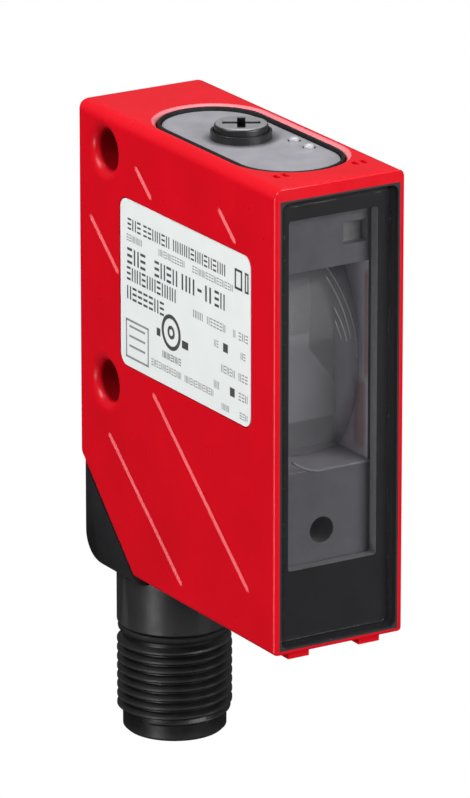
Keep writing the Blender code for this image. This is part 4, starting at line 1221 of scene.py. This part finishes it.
def build_contacts():
    """The contact insert with countersunk bores, and four pins with rounded tips."""
    low, high = CONTACT_LOW.z, CONTACT_HIGH.z
    radius = (CONTACT_HIGH.x - CONTACT_LOW.x) / 2
    insert = rod("contact_insert", radius, (0, BARREL_Y, 0), (low, high))
    bores = []
    for number in range(1, 5):
        pin_low, pin_high = node_box(f"contact_pin_{number}")
        middle, pin = (pin_low + pin_high) / 2, (pin_high.x - pin_low.x) / 2
        spot = (middle.x, middle.y, 0)
        funnel = [(0, low - 1), (pin + 0.4, low - 1), (pin + 0.4, low), (pin + SNUG, low + 0.25)]
        funnel += [(pin + SNUG, high + 1), (0, high + 1)]
        bores.append(turned(f"bore_{number}", funnel, spot, segments=SMALL))
        build_pin(number, spot, pin, pin_low.z, pin_high.z)
    insert = worked(insert, ("DIFFERENCE", bores))
    hand_over(insert, "contact_carrier", "black_plastic")


def build_pin(number, spot, radius, low, high):
    tip = arc((0, low + radius), radius, -75, 0, 5)
    profile = [(0, low), *tip, (radius, high), (0, high)]
    pin = turned(f"pin_{number}", profile, spot, segments=SMALL)
    hand_over(pin, f"contact_pin_{number}", "gold_plate", edge=0)


def rubber_ring(node, name, centre, ring_radius, section, direction=(0, 0, 1)):
    profile = arc((ring_radius, 0), section, 0, 360, 16)[:-1]
    hand_over(turned(name, profile, centre, direction), node, "black_rubber", edge=0, split=0)


def build_rings():
    for node, name in (("connector_oring", "plug_oring"), ("screw_oring", "screw_ring")):
        low, high = node_box(node)
        section = (high.z - low.z) / 2
        ring_radius = (high.x - low.x) / 2 - section
        rubber_ring(node, name, (low + high) / 2, ring_radius, section)
    seat, ring_radius = swivel_point(-0.5), SPIGOT_RADIUS + 0.6
    rubber_ring("swivel_seal", "swivel_ring", seat, ring_radius, 0.45, SWIVEL_DIRECTION)


# ---- CAD nodes kept


KEPT = {
    "black_rubber": ("window_seal",),
    "polariser_film": ("polarising_filter",),
    "splitter_coating": ("beam_splitter",),
    "dark_package": ("receiver_photodiode", "processor_chip", "trimmer_body", "mode_switch_body"),
    "board_laminate": ("main_board", "control_board"),
    "tinned_steel": ("receiver_shield", "board_screw_1", "board_screw_2", "swivel_retainer"),
    "green_lens": ("green_led",),
    "yellow_lens": ("yellow_led",),
    "ivory_plastic": ("trimmer_rotor", "mode_switch_rotor"),
    "brass": ("threaded_insert",),
    "ribbon_film": ("connector_flex",),
}


def keep(node, look, edge=0.05):
    """Shows a CAD node as it is, with its finish and softer edges."""
    obj = frame["nodes"][node]
    obj.data.materials.clear()
    obj.data.materials.append(LOOKS[look])
    weld = obj.modifiers.new("weld", "WELD")
    weld.merge_threshold = 0.001 * MM
    soften(obj, edge)


def keep_inner_pieces():
    for look, nodes in KEPT.items():
        for node in nodes:
            keep(node, look)
    keep("emitter_led", "light_pipe", 0.0)


# ---- floor, light, camera

MIDDLE = TO_FRAME @ Vector((0, 19, 24))
CAMERA_AZIMUTH = -31.22
CAMERA_ELEVATION = 18.28
CAMERA_DISTANCE = 718.0
CAMERA_LENS = 323.7
CAMERA_SLIDE = (-0.41, -3.64)  # to the right and up, in millimetres


def set_white(material, tone):
    """Plain white to the camera, and a softer tone to every other ray."""
    tree = material.node_tree
    tree.nodes.clear()
    seen = add_node(tree, "Emission", {"Color": (1, 1, 1, 1)}).outputs[0]
    other = add_node(tree, "BsdfDiffuse", {"Color": (tone, tone, tone, 1)}).outputs[0]
    to_camera = add_node(tree, "LightPath", {}).outputs["Is Camera Ray"]
    mix = add_node(tree, "MixShader", {0: to_camera, 1: other, 2: seen}).outputs[0]
    add_node(tree, "OutputMaterial", {"Surface": mix})


def build_floor():
    """A wide floor, well below the sensor."""
    half_side, drop = 4.0, 120 * MM
    bm = bmesh.new()
    bmesh.ops.create_grid(bm, x_segments=1, y_segments=1, size=half_side)
    mesh = bpy.data.meshes.new("floor")
    bm.to_mesh(mesh)
    bm.free()
    material = bpy.data.materials.new("pale_floor")
    material.use_nodes = True
    set_white(material, 0.06)
    mesh.materials.append(material)
    floor = place_object("floor", mesh)
    floor.location = (0, 0, cad_bounds[0].z - drop)


def build_world(above, below):
    """White to the camera. To other rays it is grey overhead and darker low down."""
    world = bpy.data.worlds.new("studio")
    bpy.context.scene.world = world
    world.use_nodes = True
    tree = world.node_tree
    place = add_node(tree, "TexCoord", {}).outputs["Generated"]
    level = add_node(tree, "SeparateXYZ", {0: place}).outputs["Z"]
    ends = {"From Min": -0.1, "From Max": 0.4, "To Min": below, "To Max": above}
    tone = add_node(tree, "MapRange", {"Value": level, **ends}).outputs["Result"]
    to_camera = add_node(tree, "LightPath", {}).outputs["Is Camera Ray"]
    seen = add_node(tree, "Math", {0: tone, 1: to_camera}, operation="MAXIMUM").outputs[0]
    feed(tree, tree.nodes["Background"].inputs["Color"], seen)


def aim(obj, location, away):
    """Places a lamp or the camera so that it looks back against this direction."""
    obj.location = location
    obj.rotation_mode = "QUATERNION"
    obj.rotation_quaternion = (-away).to_track_quat("-Z", "Y")


def soft_light(name, direction, power, size=0.22, distance=0.35):
    light = bpy.data.lights.new(name, "AREA")
    light.energy = power
    light.shape = "SQUARE"
    light.size = size
    lamp = place_object(name, light)
    away = Vector(direction).normalized()
    aim(lamp, MIDDLE + away * distance, away)


def build_camera():
    azimuth, elevation = math.radians(CAMERA_AZIMUTH), math.radians(CAMERA_ELEVATION)
    flat = math.cos(elevation)
    back = Vector((math.sin(azimuth) * flat, -math.cos(azimuth) * flat, math.sin(elevation)))
    right = Vector((math.cos(azimuth), math.sin(azimuth), 0))
    slide = right * CAMERA_SLIDE[0] + back.cross(right) * CAMERA_SLIDE[1]
    data = bpy.data.cameras.new("camera")
    data.lens = CAMERA_LENS
    data.sensor_width = 36.0
    data.clip_start, data.clip_end = 0.01, 50.0
    camera = place_object("camera", data)
    aim(camera, MIDDLE + (back * CAMERA_DISTANCE + slide) * MM, back)
    bpy.context.scene.camera = camera


def build_studio():
    build_floor()
    build_world(0.22, 0.04)
    soft_light("key_light", (-0.762, 0.0, 0.648), 0.95, 0.16)
    soft_light("left_light", (-0.9, -0.29, -0.31), 0.38, 0.1)
    soft_light("front_light", (0.35, -0.85, 0.3), 1.35)
    soft_light("top_light", (0.1, 0.1, 1.0), 0.65)
    bpy.context.scene.view_settings.view_transform = "Standard"
    build_camera()


build_housing()
build_label()
build_window()
build_optics()
build_lens()
build_cover()
build_gasket()
build_cover_screw()
build_elbow()
build_contacts()
build_rings()
keep_inner_pieces()
build_studio()
